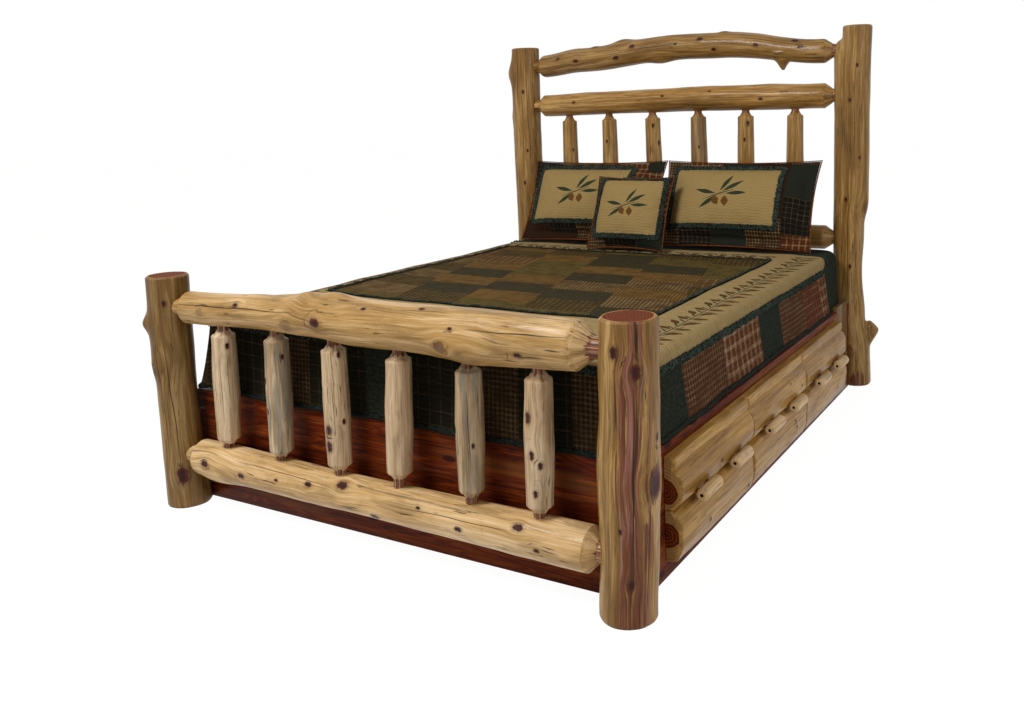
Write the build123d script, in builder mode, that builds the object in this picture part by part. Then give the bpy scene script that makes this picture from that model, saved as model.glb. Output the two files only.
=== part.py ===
from build123d import *
import math
import os
from collections import namedtuple

# Rustic log bed with a drawer pedestal.  Millimetres, +Z up.  The origin is on the floor at the middle
# of the bed, +X is the right-hand side seen from the foot, and the headboard stands at +Y.

# ---------------------------------------------------------------- driving dimensions
mattress_width = 1525
mattress_length = 1970
mattress_depth = 225
mattress_corner = 60
mattress_edge = 30

post_side_offset = 57.5  # post axis outside the side of the mattress
post_end_offset = 75  # post axis beyond the end of the mattress
post_diameter = 140
post_top_chamfer = 5
footboard_post_height = 750
headboard_post_height = 1524

rail_outset = 4  # footboard rail axis outside the post axis
footboard_top_height = 665
footboard_top_diameter = 124
footboard_bottom_height = 162
footboard_bottom_diameter = 112
headboard_crest_height = 1430
headboard_crest_diameter = 108
headboard_upper_height = 1243
headboard_upper_diameter = 108
headboard_lower_height = 632
headboard_lower_diameter = 108

rail_neck_diameter = 56
rail_neck_length = 12  # bare neck between the shoulder and the face of a post
rail_tenon_depth = 58  # reach of the tenon past the inner face of a post
footboard_right_inset = 4  # extra length of neck at the right-hand posts
headboard_right_inset = 14
left_taper = 30  # length of the coned shoulder at each end of a rail
headboard_right_taper = 36
footboard_top_right_taper = 46
footboard_bottom_right_taper = 28

spindle_count = 6
spindle_diameter = 76
spindle_neck_diameter = 34
spindle_neck_length = 8
spindle_tenon_depth = 34
spindle_taper = 30
spindle_swell = 3

case_side_margin = 43.5  # case face outside the side of the mattress
case_height = 362
board_thickness = 19
post_flat_depth = 6
panel_board_count = 3
frame_bottom_rail = 70
frame_top_rail = 52
frame_stile = 38
foot_margin = 139  # case end to the first drawer front
head_margin = 218  # case end to the last drawer front
head_cleat_width = 162
head_cleat_rise = 19  # head cleat stands above the case

drawer_count = 3
drawer_depth = 610
drawer_wall = 12
drawer_bottom_thickness = 6
drawer_bottom_lift = 6
drawer_back_drop = 10
drawer_side_gap = 6
drawer_lower_gap = 6
drawer_upper_gap = 10
front_gap = 4  # between neighbouring drawer fronts
front_standoff = 2  # drawer front clear of the face frame
front_bottom = 50
front_top = 335
front_notch = 297  # height of the notch between the two lobes of the upper slab
front_seam = 190  # height of the line where the two slabs meet
front_bevel = 7
upper_lobe_reach = 31
middle_lobe_reach = 48
lower_lobe_reach = 48
top_root = 20  # slab thickness at its top edge, its notch, its seam and its bottom edge
notch_root = 24
slab_root = 16
bottom_root = 26

pull_diameter = 36
pull_length = 116
pull_spacing = 244
pull_height = 206
pull_standoff = 64
pull_end_radius = 4
dowel_diameter = 16
dowel_spacing = 70
dowel_seat = 20

runner_height = 20
kicker_height = 14
runner_shelf = 12
rear_clearance = 18
case_back_thickness = 12
slat_count = 10
slat_width = 140
beam_width = 38
beam_height = 90
leg_count = 3

bolt_diameter = 10
bolt_length = 75
bolt_head_diameter = 20
bolt_head_height = 7

quilt_thickness = 9
quilt_flare = 23  # the hem hangs further out than the top edge
quilt_edge_radius = 28
sham_width = 690
sham_height = 390
sham_thickness = 130
pillow_lean = 25
sham_left_x = -370
sham_right_x = 345
throw_width = 355
throw_height = 330
throw_thickness = 110
throw_x = -98
pillow_edge = 45

mortise_clearance = 0.3
seat_clearance = 0.3
bore_clearance = 0.2
mortise_end_gap = 1

# ---------------------------------------------------------------- derived places
post_x = mattress_width / 2 + post_side_offset
post_y = mattress_length / 2 + post_end_offset
post_radius = post_diameter / 2
inner_face_x = post_x - post_radius
case_x = mattress_width / 2 + case_side_margin
case_y = post_y - post_radius + post_flat_depth
inside_x = case_x - board_thickness
inside_y = case_y - board_thickness
deck_bottom = case_height - board_thickness
board_height = case_height / panel_board_count

first_front = -case_y + foot_margin
drawer_pitch = (2 * case_y - foot_margin - head_margin) / drawer_count
bay_lines = [first_front + i * drawer_pitch for i in range(drawer_count + 1)]
bay_centres = [first_front + (i + 0.5) * drawer_pitch for i in range(drawer_count)]
box_width = drawer_pitch - frame_stile - 2 * drawer_side_gap
box_bottom = frame_bottom_rail + drawer_lower_gap
box_top = case_height - frame_top_rail - drawer_upper_gap
front_plane = case_x + front_standoff
box_rear = front_plane - drawer_depth
case_back_x = box_rear - rear_clearance

mattress_bottom = case_height + seat_clearance
mattress_top = mattress_bottom + mattress_depth
quilt_top = mattress_top + seat_clearance + quilt_thickness

Post = namedtuple("Post", "x y height shape")
Rail = namedtuple("Rail", "y height radius left right left_taper right_taper shape")
Spindle = namedtuple("Spindle", "foot head lower_reach upper_reach")

# A post's shape: (share of its height, wander in x, wander in y, change of radius).
footboard_left_shape = (
    (0, 8, 4, -3),
    (0.25, 6, 0, -8),
    (0.5, 3, 0, -10),
    (0.75, 0, 0, -7),
    (1, 4, 0, -6),
)
footboard_right_shape = (
    (0, -22, 6, 1),
    (0.25, -12, 4, 2),
    (0.5, -6, 0, 6),
    (0.75, 0, 0, 3),
    (1, 6, 0, 0),
)
headboard_left_shape = (
    (0, -2, 0, 0),
    (0.3, -4, 0, -2),
    (0.6, -8, 2, -1),
    (0.85, -6, 0, 0),
    (1, 0, 0, -2),
)
headboard_right_shape = (
    (0, 2, 0, -6),
    (0.1, 0, 0, -8),
    (0.2, -14, -6, -16),
    (0.32, -20, -8, -22),
    (0.45, -16, -6, -18),
    (0.55, -8, 0, -10),
    (0.85, -6, 0, -8),
    (1, 4, 0, -10),
)
# A rail's shape: (place along its body from -1 to 1, wander in height, change of radius).
footboard_top_shape = (
    (-1, -12, -12),
    (-0.5, 0, -10),
    (-0.25, 6, -1),
    (0, 0, 4),
    (0.25, 2, 2),
    (0.6, -2, 7),
    (1, 2, 1),
)
footboard_bottom_shape = (
    (-1, 10, -3),
    (-0.6, 2, 0),
    (-0.2, -2, -3),
    (0.15, 6, 3),
    (0.5, 0, 0),
    (1, -6, 2),
)
crest_shape = (
    (-1, 0, 0),
    (-0.7, 20, 4),
    (-0.35, 47, 0),
    (0.03, 52, 2),
    (0.35, 48, 3),
    (0.7, 20, -3),
    (1, -4, -4),
)
upper_shape = (
    (-1, -5, -1),
    (-0.4, 0, 0),
    (0.1, 3, 1),
    (0.6, 0, 2),
    (1, -3, -1),
)
lower_shape = (
    (-1, 0, 0),
    (-0.3, 3, 1),
    (0.4, -2, -1),
    (1, 2, -2),
)
# Where each spindle stands off its even spacing, at its foot and at its head.
footboard_foot_shift = (-2, -6, -3, -20, -6, -28)
footboard_head_shift = (20, 14, 6, 14, 8, -10)
headboard_foot_shift = (6, -4, 0, -8, -20, -34)
headboard_head_shift = (9, -5, -10, -13, -19, -27)


# ---------------------------------------------------------------- log pieces
def make_rail(y, height, diameter, shape, right_taper, right_inset):
    """Gather a rail's sizes; its body ends a neck's length short of each post."""
    reach = inner_face_x - rail_neck_length
    left = left_taper - reach
    right = reach - right_inset - right_taper
    return Rail(y, height, diameter / 2, left, right, left_taper, right_taper, shape)


def rail_stations(rail):
    """(x, height, radius) of each section of a rail's body."""
    middle = (rail.left + rail.right) / 2
    half = (rail.right - rail.left) / 2
    return [(middle + t * half, rail.height + dz, rail.radius + dr) for t, dz, dr in rail.shape]


def rail_at(rail, x):
    """Height and radius of a rail at x, between its nearest two stations."""
    stations = rail_stations(rail)
    for (x0, z0, r0), (x1, z1, r1) in zip(stations, stations[1:]):
        if x <= x1:
            break
    share = (x - x0) / (x1 - x0)
    return z0 + share * (z1 - z0), r0 + share * (r1 - r0)


def tenon_heights(rail):
    """Heights of a rail's left and right tenons."""
    stations = rail_stations(rail)
    return stations[0][1], stations[-1][1]


def across_x(x, y, z):
    """Plane across a rail, facing +X."""
    return Plane(origin=(x, y, z), x_dir=(0, 1, 0), z_dir=(1, 0, 0))


def rail_body(rail):
    """Body, tapered shoulders and tenons of a rail, as one solid."""
    stations = rail_stations(rail)
    neck = rail_neck_diameter / 2
    tenon_end = inner_face_x + rail_tenon_depth
    with BuildPart() as body:
        for x, z, radius in stations:
            with BuildSketch(across_x(x, rail.y, z)):
                Circle(radius)
        loft(ruled=True)
        for (x, z, radius), way, taper in (
            (stations[0], -1, rail.left_taper),
            (stations[-1], 1, rail.right_taper),
        ):
            with BuildSketch(across_x(x, rail.y, z)):
                Circle(radius)
            with BuildSketch(across_x(x + way * taper, rail.y, z)):
                Circle(neck)
            loft(ruled=True)
            with BuildSketch(across_x(x + way * taper, rail.y, z)):
                Circle(neck)
            extrude(amount=way * (tenon_end - abs(x) - taper))
    return body.part


def spindle_frame(spindle):
    """Plane at a spindle's foot whose normal runs along the spindle."""
    (x0, y0, z0), (x1, y1, z1) = spindle.foot, spindle.head
    return Plane(origin=(x0, y0, z0), x_dir=(0, -1, 0), z_dir=(x1 - x0, y1 - y0, z1 - z0))


def spindle_length(spindle):
    return math.dist(spindle.foot, spindle.head)


def make_spindles(lower, upper, foot_shift, head_shift):
    """Evenly spaced spindles, each moved a little at its foot and head."""
    pitch = 2 * post_x / (spindle_count + 1)
    spindles = []
    for i in range(spindle_count):
        even = -post_x + (i + 1) * pitch
        foot_x = even + foot_shift[i % len(foot_shift)]
        head_x = even + head_shift[i % len(head_shift)]
        foot_z, foot_radius = rail_at(lower, foot_x)
        head_z, head_radius = rail_at(upper, head_x)
        foot = (foot_x, lower.y, foot_z)
        head = (head_x, upper.y, head_z)
        spindles.append(Spindle(foot, head, foot_radius, head_radius))
    return spindles


def spindle_body(spindle):
    """Spindle with a swelled body, coned ends, necks and tenons."""
    length = spindle_length(spindle)
    frame = spindle_frame(spindle)
    radius = spindle_diameter / 2
    neck = spindle_neck_diameter / 2
    low_neck = spindle.lower_reach + spindle_neck_length
    high_neck = length - spindle.upper_reach - spindle_neck_length
    low_body = low_neck + spindle_taper
    high_body = high_neck - spindle_taper
    low_end = spindle.lower_reach - spindle_tenon_depth
    high_end = length - spindle.upper_reach + spindle_tenon_depth
    middle = (low_body + high_body) / 2
    with BuildPart() as body:
        ends = radius - spindle_swell
        for place, size in ((low_body, ends), (middle, radius), (high_body, ends)):
            with BuildSketch(frame.offset(place)):
                Circle(size)
        loft()
        for wide, narrow, end in ((low_body, low_neck, low_end), (high_body, high_neck, high_end)):
            with BuildSketch(frame.offset(wide)):
                Circle(radius - spindle_swell)
            with BuildSketch(frame.offset(narrow)):
                Circle(neck)
            loft(ruled=True)
            with BuildSketch(frame.offset(narrow)):
                Circle(neck)
            extrude(amount=end - narrow)
    return body.part


def spindle_mortises(spindles, at_head):
    """Pegs that cut the mortises of a row of spindles out of a rail."""
    size = spindle_neck_diameter / 2 + mortise_clearance
    depth = spindle_neck_length + spindle_tenon_depth + mortise_end_gap
    with BuildPart() as pegs:
        for spindle in spindles:
            if at_head:
                start = spindle_length(spindle) - spindle.upper_reach - spindle_neck_length
            else:
                start = spindle.lower_reach + spindle_neck_length - depth
            with BuildSketch(spindle_frame(spindle).offset(start)):
                Circle(size)
            extrude(amount=depth)
    return pegs.part


def post_body(post):
    """Trunk of a post, lofted through its sections and chamfered round its top."""
    with BuildPart() as trunk:
        for share, dx, dy, dr in post.shape:
            with BuildSketch(Plane.XY.offset(share * post.height)):
                with Locations((post.x + dx, post.y + dy)):
                    Circle(post_radius + dr)
        loft()
        chamfer(trunk.edges().group_by(Axis.Z)[-1], post_top_chamfer)
    return trunk.part


def rail_mortises(post, rails):
    """Pegs that cut a mortise for each rail into the inner side of a post."""
    way = 1 if post.x > 0 else -1
    size = rail_neck_diameter / 2 + mortise_clearance
    depth = post_radius + rail_tenon_depth + mortise_end_gap
    with BuildPart() as pegs:
        for rail in rails:
            height = tenon_heights(rail)[1 if way > 0 else 0]
            with BuildSketch(across_x(way * (inner_face_x - post_radius), rail.y, height)):
                Circle(size)
            extrude(amount=way * depth)
    return pegs.part


def bolt_places(post):
    """(x, z) of the two lag bolts that hold the case to a post."""
    way = 1 if post.x > 0 else -1
    x = way * (inside_x - bolt_head_diameter / 2 - 2)
    return [(x, board_height / 2), (x, case_height - board_height / 2)]


def case_notch(post):
    """Block that cuts the flat where the case bears on a post, with the post's two bolt bores."""
    way = 1 if post.y > 0 else -1
    wide = 2 * post_diameter
    with BuildPart() as block:
        with BuildSketch(Plane.XY):
            with Locations((post.x, way * (case_y + seat_clearance - wide / 2))):
                Rectangle(wide, wide)
        extrude(amount=case_height + head_cleat_rise + seat_clearance)
        for x, z in bolt_places(post):
            with BuildSketch(Plane(origin=(x, way * case_y, z), x_dir=(1, 0, 0), z_dir=(0, way, 0))):
                Circle(bolt_diameter / 2 + bore_clearance)
            extrude(amount=bolt_length - board_thickness + mortise_end_gap)
    return block.part


def knot(x, y, z, radius):
    """Rounded knot swelling on the log under construction."""
    with Locations((x, y, z)):
        Sphere(radius)


footboard_left = Post(-post_x, -post_y, footboard_post_height, footboard_left_shape)
footboard_right = Post(post_x, -post_y, footboard_post_height, footboard_right_shape)
headboard_left = Post(-post_x, post_y, headboard_post_height, headboard_left_shape)
headboard_right = Post(post_x, post_y, headboard_post_height, headboard_right_shape)

footboard_y = -post_y - rail_outset
footboard_top = make_rail(
    footboard_y,
    footboard_top_height,
    footboard_top_diameter,
    footboard_top_shape,
    footboard_top_right_taper,
    footboard_right_inset,
)
footboard_bottom = make_rail(
    footboard_y,
    footboard_bottom_height,
    footboard_bottom_diameter,
    footboard_bottom_shape,
    footboard_bottom_right_taper,
    footboard_right_inset,
)
headboard_crest = make_rail(
    post_y,
    headboard_crest_height,
    headboard_crest_diameter,
    crest_shape,
    headboard_right_taper,
    headboard_right_inset,
)
headboard_upper = make_rail(
    post_y,
    headboard_upper_height,
    headboard_upper_diameter,
    upper_shape,
    headboard_right_taper,
    headboard_right_inset,
)
headboard_lower = make_rail(
    post_y,
    headboard_lower_height,
    headboard_lower_diameter,
    lower_shape,
    headboard_right_taper,
    headboard_right_inset,
)
footboard_rails = (footboard_top, footboard_bottom)
headboard_rails = (headboard_crest, headboard_upper, headboard_lower)
footboard_spindles = make_spindles(
    footboard_bottom, footboard_top, footboard_foot_shift, footboard_head_shift
)
headboard_spindles = make_spindles(
    headboard_lower, headboard_upper, headboard_foot_shift, headboard_head_shift
)

# ---------------------------------------------------------------- output
os.makedirs("parts", exist_ok=True)


def save(part, name):
    part.label = name
    export_step(part, "parts/" + name + ".step")


# ---------------------------------------------------------------- footboard
footboard_left_knot = 26
footboard_left_knot_outset = 32
footboard_left_knot_lead = 35
footboard_left_knot_height = 580
footboard_left_knot_x = -post_x - footboard_left_knot_outset
footboard_left_knot_y = -post_y - footboard_left_knot_lead
with BuildPart() as footboard_post_left:
    add(post_body(footboard_left))
    knot(footboard_left_knot_x, footboard_left_knot_y, footboard_left_knot_height, footboard_left_knot)
    add(rail_mortises(footboard_left, footboard_rails), mode=Mode.SUBTRACT)
    add(case_notch(footboard_left), mode=Mode.SUBTRACT)
save(footboard_post_left.part, "footboard_post_left")

with BuildPart() as footboard_post_right:
    add(post_body(footboard_right))
    add(rail_mortises(footboard_right, footboard_rails), mode=Mode.SUBTRACT)
    add(case_notch(footboard_right), mode=Mode.SUBTRACT)
save(footboard_post_right.part, "footboard_post_right")

top_knot_x = -105
top_knot_radius = 54
top_knot_outset = 14
top_knot_drop = 8
with BuildPart() as footboard_top_rail:
    add(rail_body(footboard_top))
    knot(top_knot_x, footboard_y - top_knot_outset, footboard_top_height - top_knot_drop, top_knot_radius)
    add(spindle_mortises(footboard_spindles, True), mode=Mode.SUBTRACT)
save(footboard_top_rail.part, "footboard_top_rail")

bottom_knot_x = -590
bottom_knot_radius = 40
bottom_knot_outset = 18
bottom_knot_drop = 34
with BuildPart() as footboard_bottom_rail:
    add(rail_body(footboard_bottom))
    knot(
        bottom_knot_x,
        footboard_y - bottom_knot_outset,
        footboard_bottom_height - bottom_knot_drop,
        bottom_knot_radius,
    )
    add(spindle_mortises(footboard_spindles, False), mode=Mode.SUBTRACT)
save(footboard_bottom_rail.part, "footboard_bottom_rail")

for number, spindle in enumerate(footboard_spindles, 1):
    with BuildPart() as footboard_spindle:
        add(spindle_body(spindle))
    save(footboard_spindle.part, f"footboard_spindle_{number}")

# ---------------------------------------------------------------- headboard
headboard_left_knot = 40
headboard_left_knot_outset = 58.6
headboard_left_knot_lead = 12
headboard_left_knot_height = 1405
headboard_left_knot_x = -post_x - headboard_left_knot_outset
headboard_left_knot_y = post_y - headboard_left_knot_lead
with BuildPart() as headboard_post_left:
    add(post_body(headboard_left))
    knot(headboard_left_knot_x, headboard_left_knot_y, headboard_left_knot_height, headboard_left_knot)
    add(rail_mortises(headboard_left, headboard_rails), mode=Mode.SUBTRACT)
    add(case_notch(headboard_left), mode=Mode.SUBTRACT)
save(headboard_post_left.part, "headboard_post_left")

second_stem_height = 1470
second_stem_offset = -44
second_stem_radius = 52
second_stem_taper = 4
branch_length = 122
branch_root_radius = 50
branch_tip_radius = 31
branch_height = 160
branch_angle = 45
branch_turn = 15
branch_inset = 8
with BuildPart() as headboard_post_right:
    add(post_body(headboard_right))
    with BuildSketch(Plane.XY):
        with Locations((post_x + second_stem_offset, post_y)):
            Circle(second_stem_radius)
    with BuildSketch(Plane.XY.offset(second_stem_height)):
        with Locations((post_x + second_stem_offset, post_y)):
            Circle(second_stem_radius - second_stem_taper)
    loft()
    branch_way = Vector(1, 0, 0).rotate(Axis.Y, -branch_angle).rotate(Axis.Z, branch_turn)
    branch_frame = Plane(origin=(post_x - branch_inset, post_y, branch_height), z_dir=branch_way)
    with BuildSketch(branch_frame):
        Circle(branch_root_radius)
    with BuildSketch(branch_frame.offset(branch_length)):
        Circle(branch_tip_radius)
    loft()
    add(rail_mortises(headboard_right, headboard_rails), mode=Mode.SUBTRACT)
    add(case_notch(headboard_right), mode=Mode.SUBTRACT)
save(headboard_post_right.part, "headboard_post_right")

crest_stub_x = 500
crest_stub_radius = 46
crest_stub_start = 38
crest_stub_tip = 8
crest_stub_drop = 92
crest_under_knot = 36
crest_under_knot_x = -69
crest_under_knot_rise = 30
crest_top_knot = 30
crest_top_knot_x = -271
crest_top_knot_rise = 78
with BuildPart() as headboard_crest_rail:
    add(rail_body(headboard_crest))
    crest_stub_z = rail_at(headboard_crest, crest_stub_x)[0]
    with BuildSketch(Plane.XY.offset(crest_stub_z - crest_stub_start)):
        with Locations((crest_stub_x, post_y)):
            Circle(crest_stub_radius)
    with BuildSketch(Plane.XY.offset(crest_stub_z - crest_stub_drop)):
        with Locations((crest_stub_x, post_y)):
            Circle(crest_stub_tip)
    loft()
    knot(crest_under_knot_x, post_y, headboard_crest_height + crest_under_knot_rise, crest_under_knot)
    knot(crest_top_knot_x, post_y, headboard_crest_height + crest_top_knot_rise, crest_top_knot)
save(headboard_crest_rail.part, "headboard_crest_rail")

with BuildPart() as headboard_upper_rail:
    add(rail_body(headboard_upper))
    add(spindle_mortises(headboard_spindles, True), mode=Mode.SUBTRACT)
save(headboard_upper_rail.part, "headboard_upper_rail")

with BuildPart() as headboard_lower_rail:
    add(rail_body(headboard_lower))
    add(spindle_mortises(headboard_spindles, False), mode=Mode.SUBTRACT)
save(headboard_lower_rail.part, "headboard_lower_rail")

for number, spindle in enumerate(headboard_spindles, 1):
    with BuildPart() as headboard_spindle:
        add(spindle_body(spindle))
    save(headboard_spindle.part, f"headboard_spindle_{number}")


# ---------------------------------------------------------------- pedestal case
def board(x0, x1, y0, y1, z0, z1):
    """Square board between two corners, added to the piece under construction."""
    with Locations(((x0 + x1) / 2, (y0 + y1) / 2, (z0 + z1) / 2)):
        Box(abs(x1 - x0), abs(y1 - y0), abs(z1 - z0))


def panel_board(way, index):
    """One horizontal board of an end panel with its bolt bores."""
    low = index * board_height
    with BuildPart() as plank:
        board(-case_x, case_x, way * inside_y, way * case_y, low, low + board_height)
        for post in (footboard_left, footboard_right):
            for x, z in bolt_places(post):
                if low < z < low + board_height:
                    with BuildSketch(Plane(origin=(x, 0, z), x_dir=(1, 0, 0), z_dir=(0, way, 0))):
                        Circle(bolt_diameter / 2 + bore_clearance)
                    extrude(amount=case_y + 1, mode=Mode.SUBTRACT)
    return plank.part


for way, name in ((-1, "foot_panel"), (1, "head_panel")):
    planks = [panel_board(way, i) for i in range(panel_board_count)]
    save(Compound(children=planks), name)

cleat_y = inside_y - head_cleat_width
frame_rail_top = case_height - frame_top_rail


def frame_stiles():
    """(start, end) of each red stile between the drawer openings, along Y."""
    spans = [(-inside_y, bay_lines[0] + frame_stile / 2)]
    spans += [(y - frame_stile / 2, y + frame_stile / 2) for y in bay_lines[1:-1]]
    spans.append((bay_lines[-1] - frame_stile / 2, cleat_y))
    return spans


def side_frame(way):
    """Face frame of one side: top rail, bottom rail and stiles, each its own solid."""
    pieces = []
    for z0, z1 in ((0, frame_bottom_rail), (frame_rail_top, case_height)):
        with BuildPart() as rail_piece:
            board(way * inside_x, way * case_x, -inside_y, cleat_y, z0, z1)
        pieces.append(rail_piece.part)
    for y0, y1 in frame_stiles():
        with BuildPart() as stile:
            board(way * inside_x, way * case_x, y0, y1, frame_bottom_rail, frame_rail_top)
        pieces.append(stile.part)
    return Compound(children=pieces)


def case_dividers(way):
    """Upright walls between the drawer bays."""
    walls = []
    half = board_thickness / 2
    for y in bay_lines:
        with BuildPart() as wall:
            board(way * case_back_x, way * inside_x, y - half, y + half, 0, deck_bottom)
        walls.append(wall.part)
    return Compound(children=walls)


def drawer_runners(way):
    """A runner under and a kicker over each side of every drawer, fixed to the dividers."""
    strips = []
    half_wall = board_thickness / 2
    seat = box_bottom - seat_clearance
    for low, high in zip(bay_lines, bay_lines[1:]):
        for wall, into in ((low + half_wall, 1), (high - half_wall, -1)):
            reach = frame_stile / 2 - half_wall + drawer_side_gap + runner_shelf
            for z0, z1 in (
                (seat - runner_height, seat),
                (box_top + seat_clearance * 2, box_top + kicker_height),
            ):
                with BuildPart() as strip:
                    board(way * case_back_x, way * inside_x, wall, wall + into * reach, z0, z1)
                strips.append(strip.part)
    return Compound(children=strips)


for way, side in ((-1, "left"), (1, "right")):
    save(side_frame(way), f"side_frame_{side}")
    save(case_dividers(way), f"case_dividers_{side}")
    save(drawer_runners(way), f"drawer_runners_{side}")
    with BuildPart() as case_back:
        board(
            way * (case_back_x - case_back_thickness), way * case_back_x, -inside_y, inside_y, 0, deck_bottom
        )
    save(case_back.part, f"case_back_{side}")

cleats = []
for way in (-1, 1):
    with BuildPart() as cleat:
        board(way * inside_x, way * case_x, cleat_y, inside_y, 0, case_height + head_cleat_rise)
    cleats.append(cleat.part)
save(Compound(children=cleats), "head_cleats")

slats = []
slat_pitch = (2 * inside_y - slat_width) / (slat_count - 1)
for i in range(slat_count):
    start = -inside_y + i * slat_pitch
    with BuildPart() as slat:
        board(-inside_x, inside_x, start, start + slat_width, deck_bottom, case_height)
    slats.append(slat.part)
save(Compound(children=slats), "deck_slats")

supports = []
with BuildPart() as beam:
    board(-beam_width / 2, beam_width / 2, -inside_y, inside_y, deck_bottom - beam_height, deck_bottom)
supports.append(beam.part)
for i in range(leg_count):
    leg_y = (i - (leg_count - 1) / 2) * (2 * inside_y) / leg_count
    with BuildPart() as leg:
        board(
            -beam_width / 2,
            beam_width / 2,
            leg_y - beam_width / 2,
            leg_y + beam_width / 2,
            0,
            deck_bottom - beam_height,
        )
    supports.append(leg.part)
save(Compound(children=supports), "centre_support")

bolts = []
for post in (footboard_left, footboard_right, headboard_left, headboard_right):
    way = 1 if post.y > 0 else -1
    for x, z in bolt_places(post):
        bolt_frame = Plane(origin=(x, way * inside_y, z), x_dir=(1, 0, 0), z_dir=(0, way, 0))
        with BuildPart() as bolt:
            with BuildSketch(bolt_frame):
                Circle(bolt_diameter / 2)
            extrude(amount=bolt_length)
            with BuildSketch(bolt_frame):
                RegularPolygon(bolt_head_diameter / 2, 6)
            extrude(amount=-bolt_head_height)
        bolts.append(bolt.part)
save(Compound(children=bolts), "bed_bolts")


# ---------------------------------------------------------------- drawers
def drawer_box(way, centre):
    """Front, back, two sides and bottom of one drawer, each its own solid."""
    half = box_width / 2
    inner = half - drawer_wall
    front_inside = front_plane - drawer_wall
    floor = box_bottom + drawer_bottom_lift
    back_inside = box_rear + drawer_wall
    sizes = [
        (front_inside, front_plane, centre - half, centre + half, box_bottom, box_top),
        (box_rear, front_inside, centre - half, centre - inner, box_bottom, box_top),
        (box_rear, front_inside, centre + inner, centre + half, box_bottom, box_top),
        (
            box_rear,
            back_inside,
            centre - inner,
            centre + inner,
            floor + drawer_bottom_thickness,
            box_top - drawer_back_drop,
        ),
        (box_rear, front_inside, centre - inner, centre + inner, floor, floor + drawer_bottom_thickness),
    ]
    boards = []
    for x0, x1, y0, y1, z0, z1 in sizes:
        with BuildPart() as drawer_board:
            board(way * x0, way * x1, y0, y1, z0, z1)
        boards.append(drawer_board.part)
    return Compound(children=boards)


def slab_lobe(way, centre, low, high, low_root, high_root, reach):
    """Half-round length of slab between two heights, bevelled round both ends."""
    length = drawer_pitch - front_gap
    profile_plane = Plane(
        origin=(way * front_plane, centre + way * length / 2, 0), x_dir=(way, 0, 0), z_dir=(0, -way, 0)
    )
    with BuildPart() as lobe:
        with BuildSketch(profile_plane):
            with BuildLine():
                Polyline((low_root, low), (0, low), (0, high), (high_root, high))
                ThreePointArc((high_root, high), (reach, (low + high) / 2), (low_root, low))
            make_face()
        extrude(amount=length)
        chamfer(lobe.edges().filter_by(GeomType.CIRCLE), front_bevel)
    return lobe.part


def slab_front(way, centre):
    """Two slabs of a drawer front: a double-lobed upper one and a rounded lower one."""
    upper_lobe = slab_lobe(way, centre, front_notch, front_top, notch_root, top_root, upper_lobe_reach)
    middle_lobe = slab_lobe(way, centre, front_seam, front_notch, slab_root, notch_root, middle_lobe_reach)
    lower_lobe = slab_lobe(way, centre, front_bottom, front_seam, bottom_root, slab_root, lower_lobe_reach)
    slabs = []
    for lobes in ((upper_lobe, middle_lobe), (lower_lobe,)):
        with BuildPart() as slab:
            for lobe in lobes:
                add(lobe)
            for y in dowel_places(centre):
                with BuildSketch(dowel_plane(way, y)):
                    Circle(dowel_diameter / 2 + bore_clearance)
                extrude(amount=dowel_seat_depth, mode=Mode.SUBTRACT)
        slabs.append(slab.part)
    return Compound(children=slabs)


dowel_seat_depth = pull_standoff - slab_root + dowel_seat / 2


def pull_centres(centre):
    return [centre - pull_spacing / 2, centre + pull_spacing / 2]


def dowel_places(centre):
    return [y + step for y in pull_centres(centre) for step in (-dowel_spacing / 2, dowel_spacing / 2)]


def dowel_plane(way, y):
    """Plane at the inner end of a pull's dowel, facing outwards."""
    x = way * (front_plane + slab_root - dowel_seat / 2)
    return Plane(origin=(x, y, pull_height), x_dir=(0, 1, 0), z_dir=(way, 0, 0))


def drawer_pulls(way, centre):
    """Two log pulls, each carried by two dowels."""
    axis_x = way * (front_plane + pull_standoff)
    pieces = []
    for y in pull_centres(centre):
        with BuildPart() as pull:
            with BuildSketch(Plane(origin=(axis_x, y, pull_height), x_dir=(1, 0, 0), z_dir=(0, 1, 0))):
                Circle(pull_diameter / 2)
            extrude(amount=pull_length / 2, both=True)
            fillet(pull.edges().filter_by(GeomType.CIRCLE), pull_end_radius)
            for step in (-dowel_spacing / 2, dowel_spacing / 2):
                with BuildSketch(dowel_plane(way, y + step)):
                    Circle(dowel_diameter / 2 + bore_clearance)
                extrude(amount=dowel_seat_depth, mode=Mode.SUBTRACT)
        pieces.append(pull.part)
    for y in dowel_places(centre):
        with BuildPart() as dowel:
            with BuildSketch(dowel_plane(way, y)):
                Circle(dowel_diameter / 2)
            extrude(amount=dowel_seat_depth - seat_clearance)
        pieces.append(dowel.part)
    return Compound(children=pieces)


for way, side in ((-1, "left"), (1, "right")):
    for number, centre in enumerate(bay_centres, 1):
        save(drawer_box(way, centre), f"drawer_box_{side}_{number}")
        save(slab_front(way, centre), f"drawer_front_{side}_{number}")
        save(drawer_pulls(way, centre), f"drawer_pulls_{side}_{number}")

# ---------------------------------------------------------------- bedding
with BuildPart() as mattress:
    with BuildSketch(Plane.XY.offset(mattress_bottom)):
        RectangleRounded(mattress_width, mattress_length, mattress_corner)
    extrude(amount=mattress_depth)
    fillet(mattress.faces().sort_by(Axis.Z)[-1].edges(), mattress_edge)
save(mattress.part, "mattress")

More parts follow.
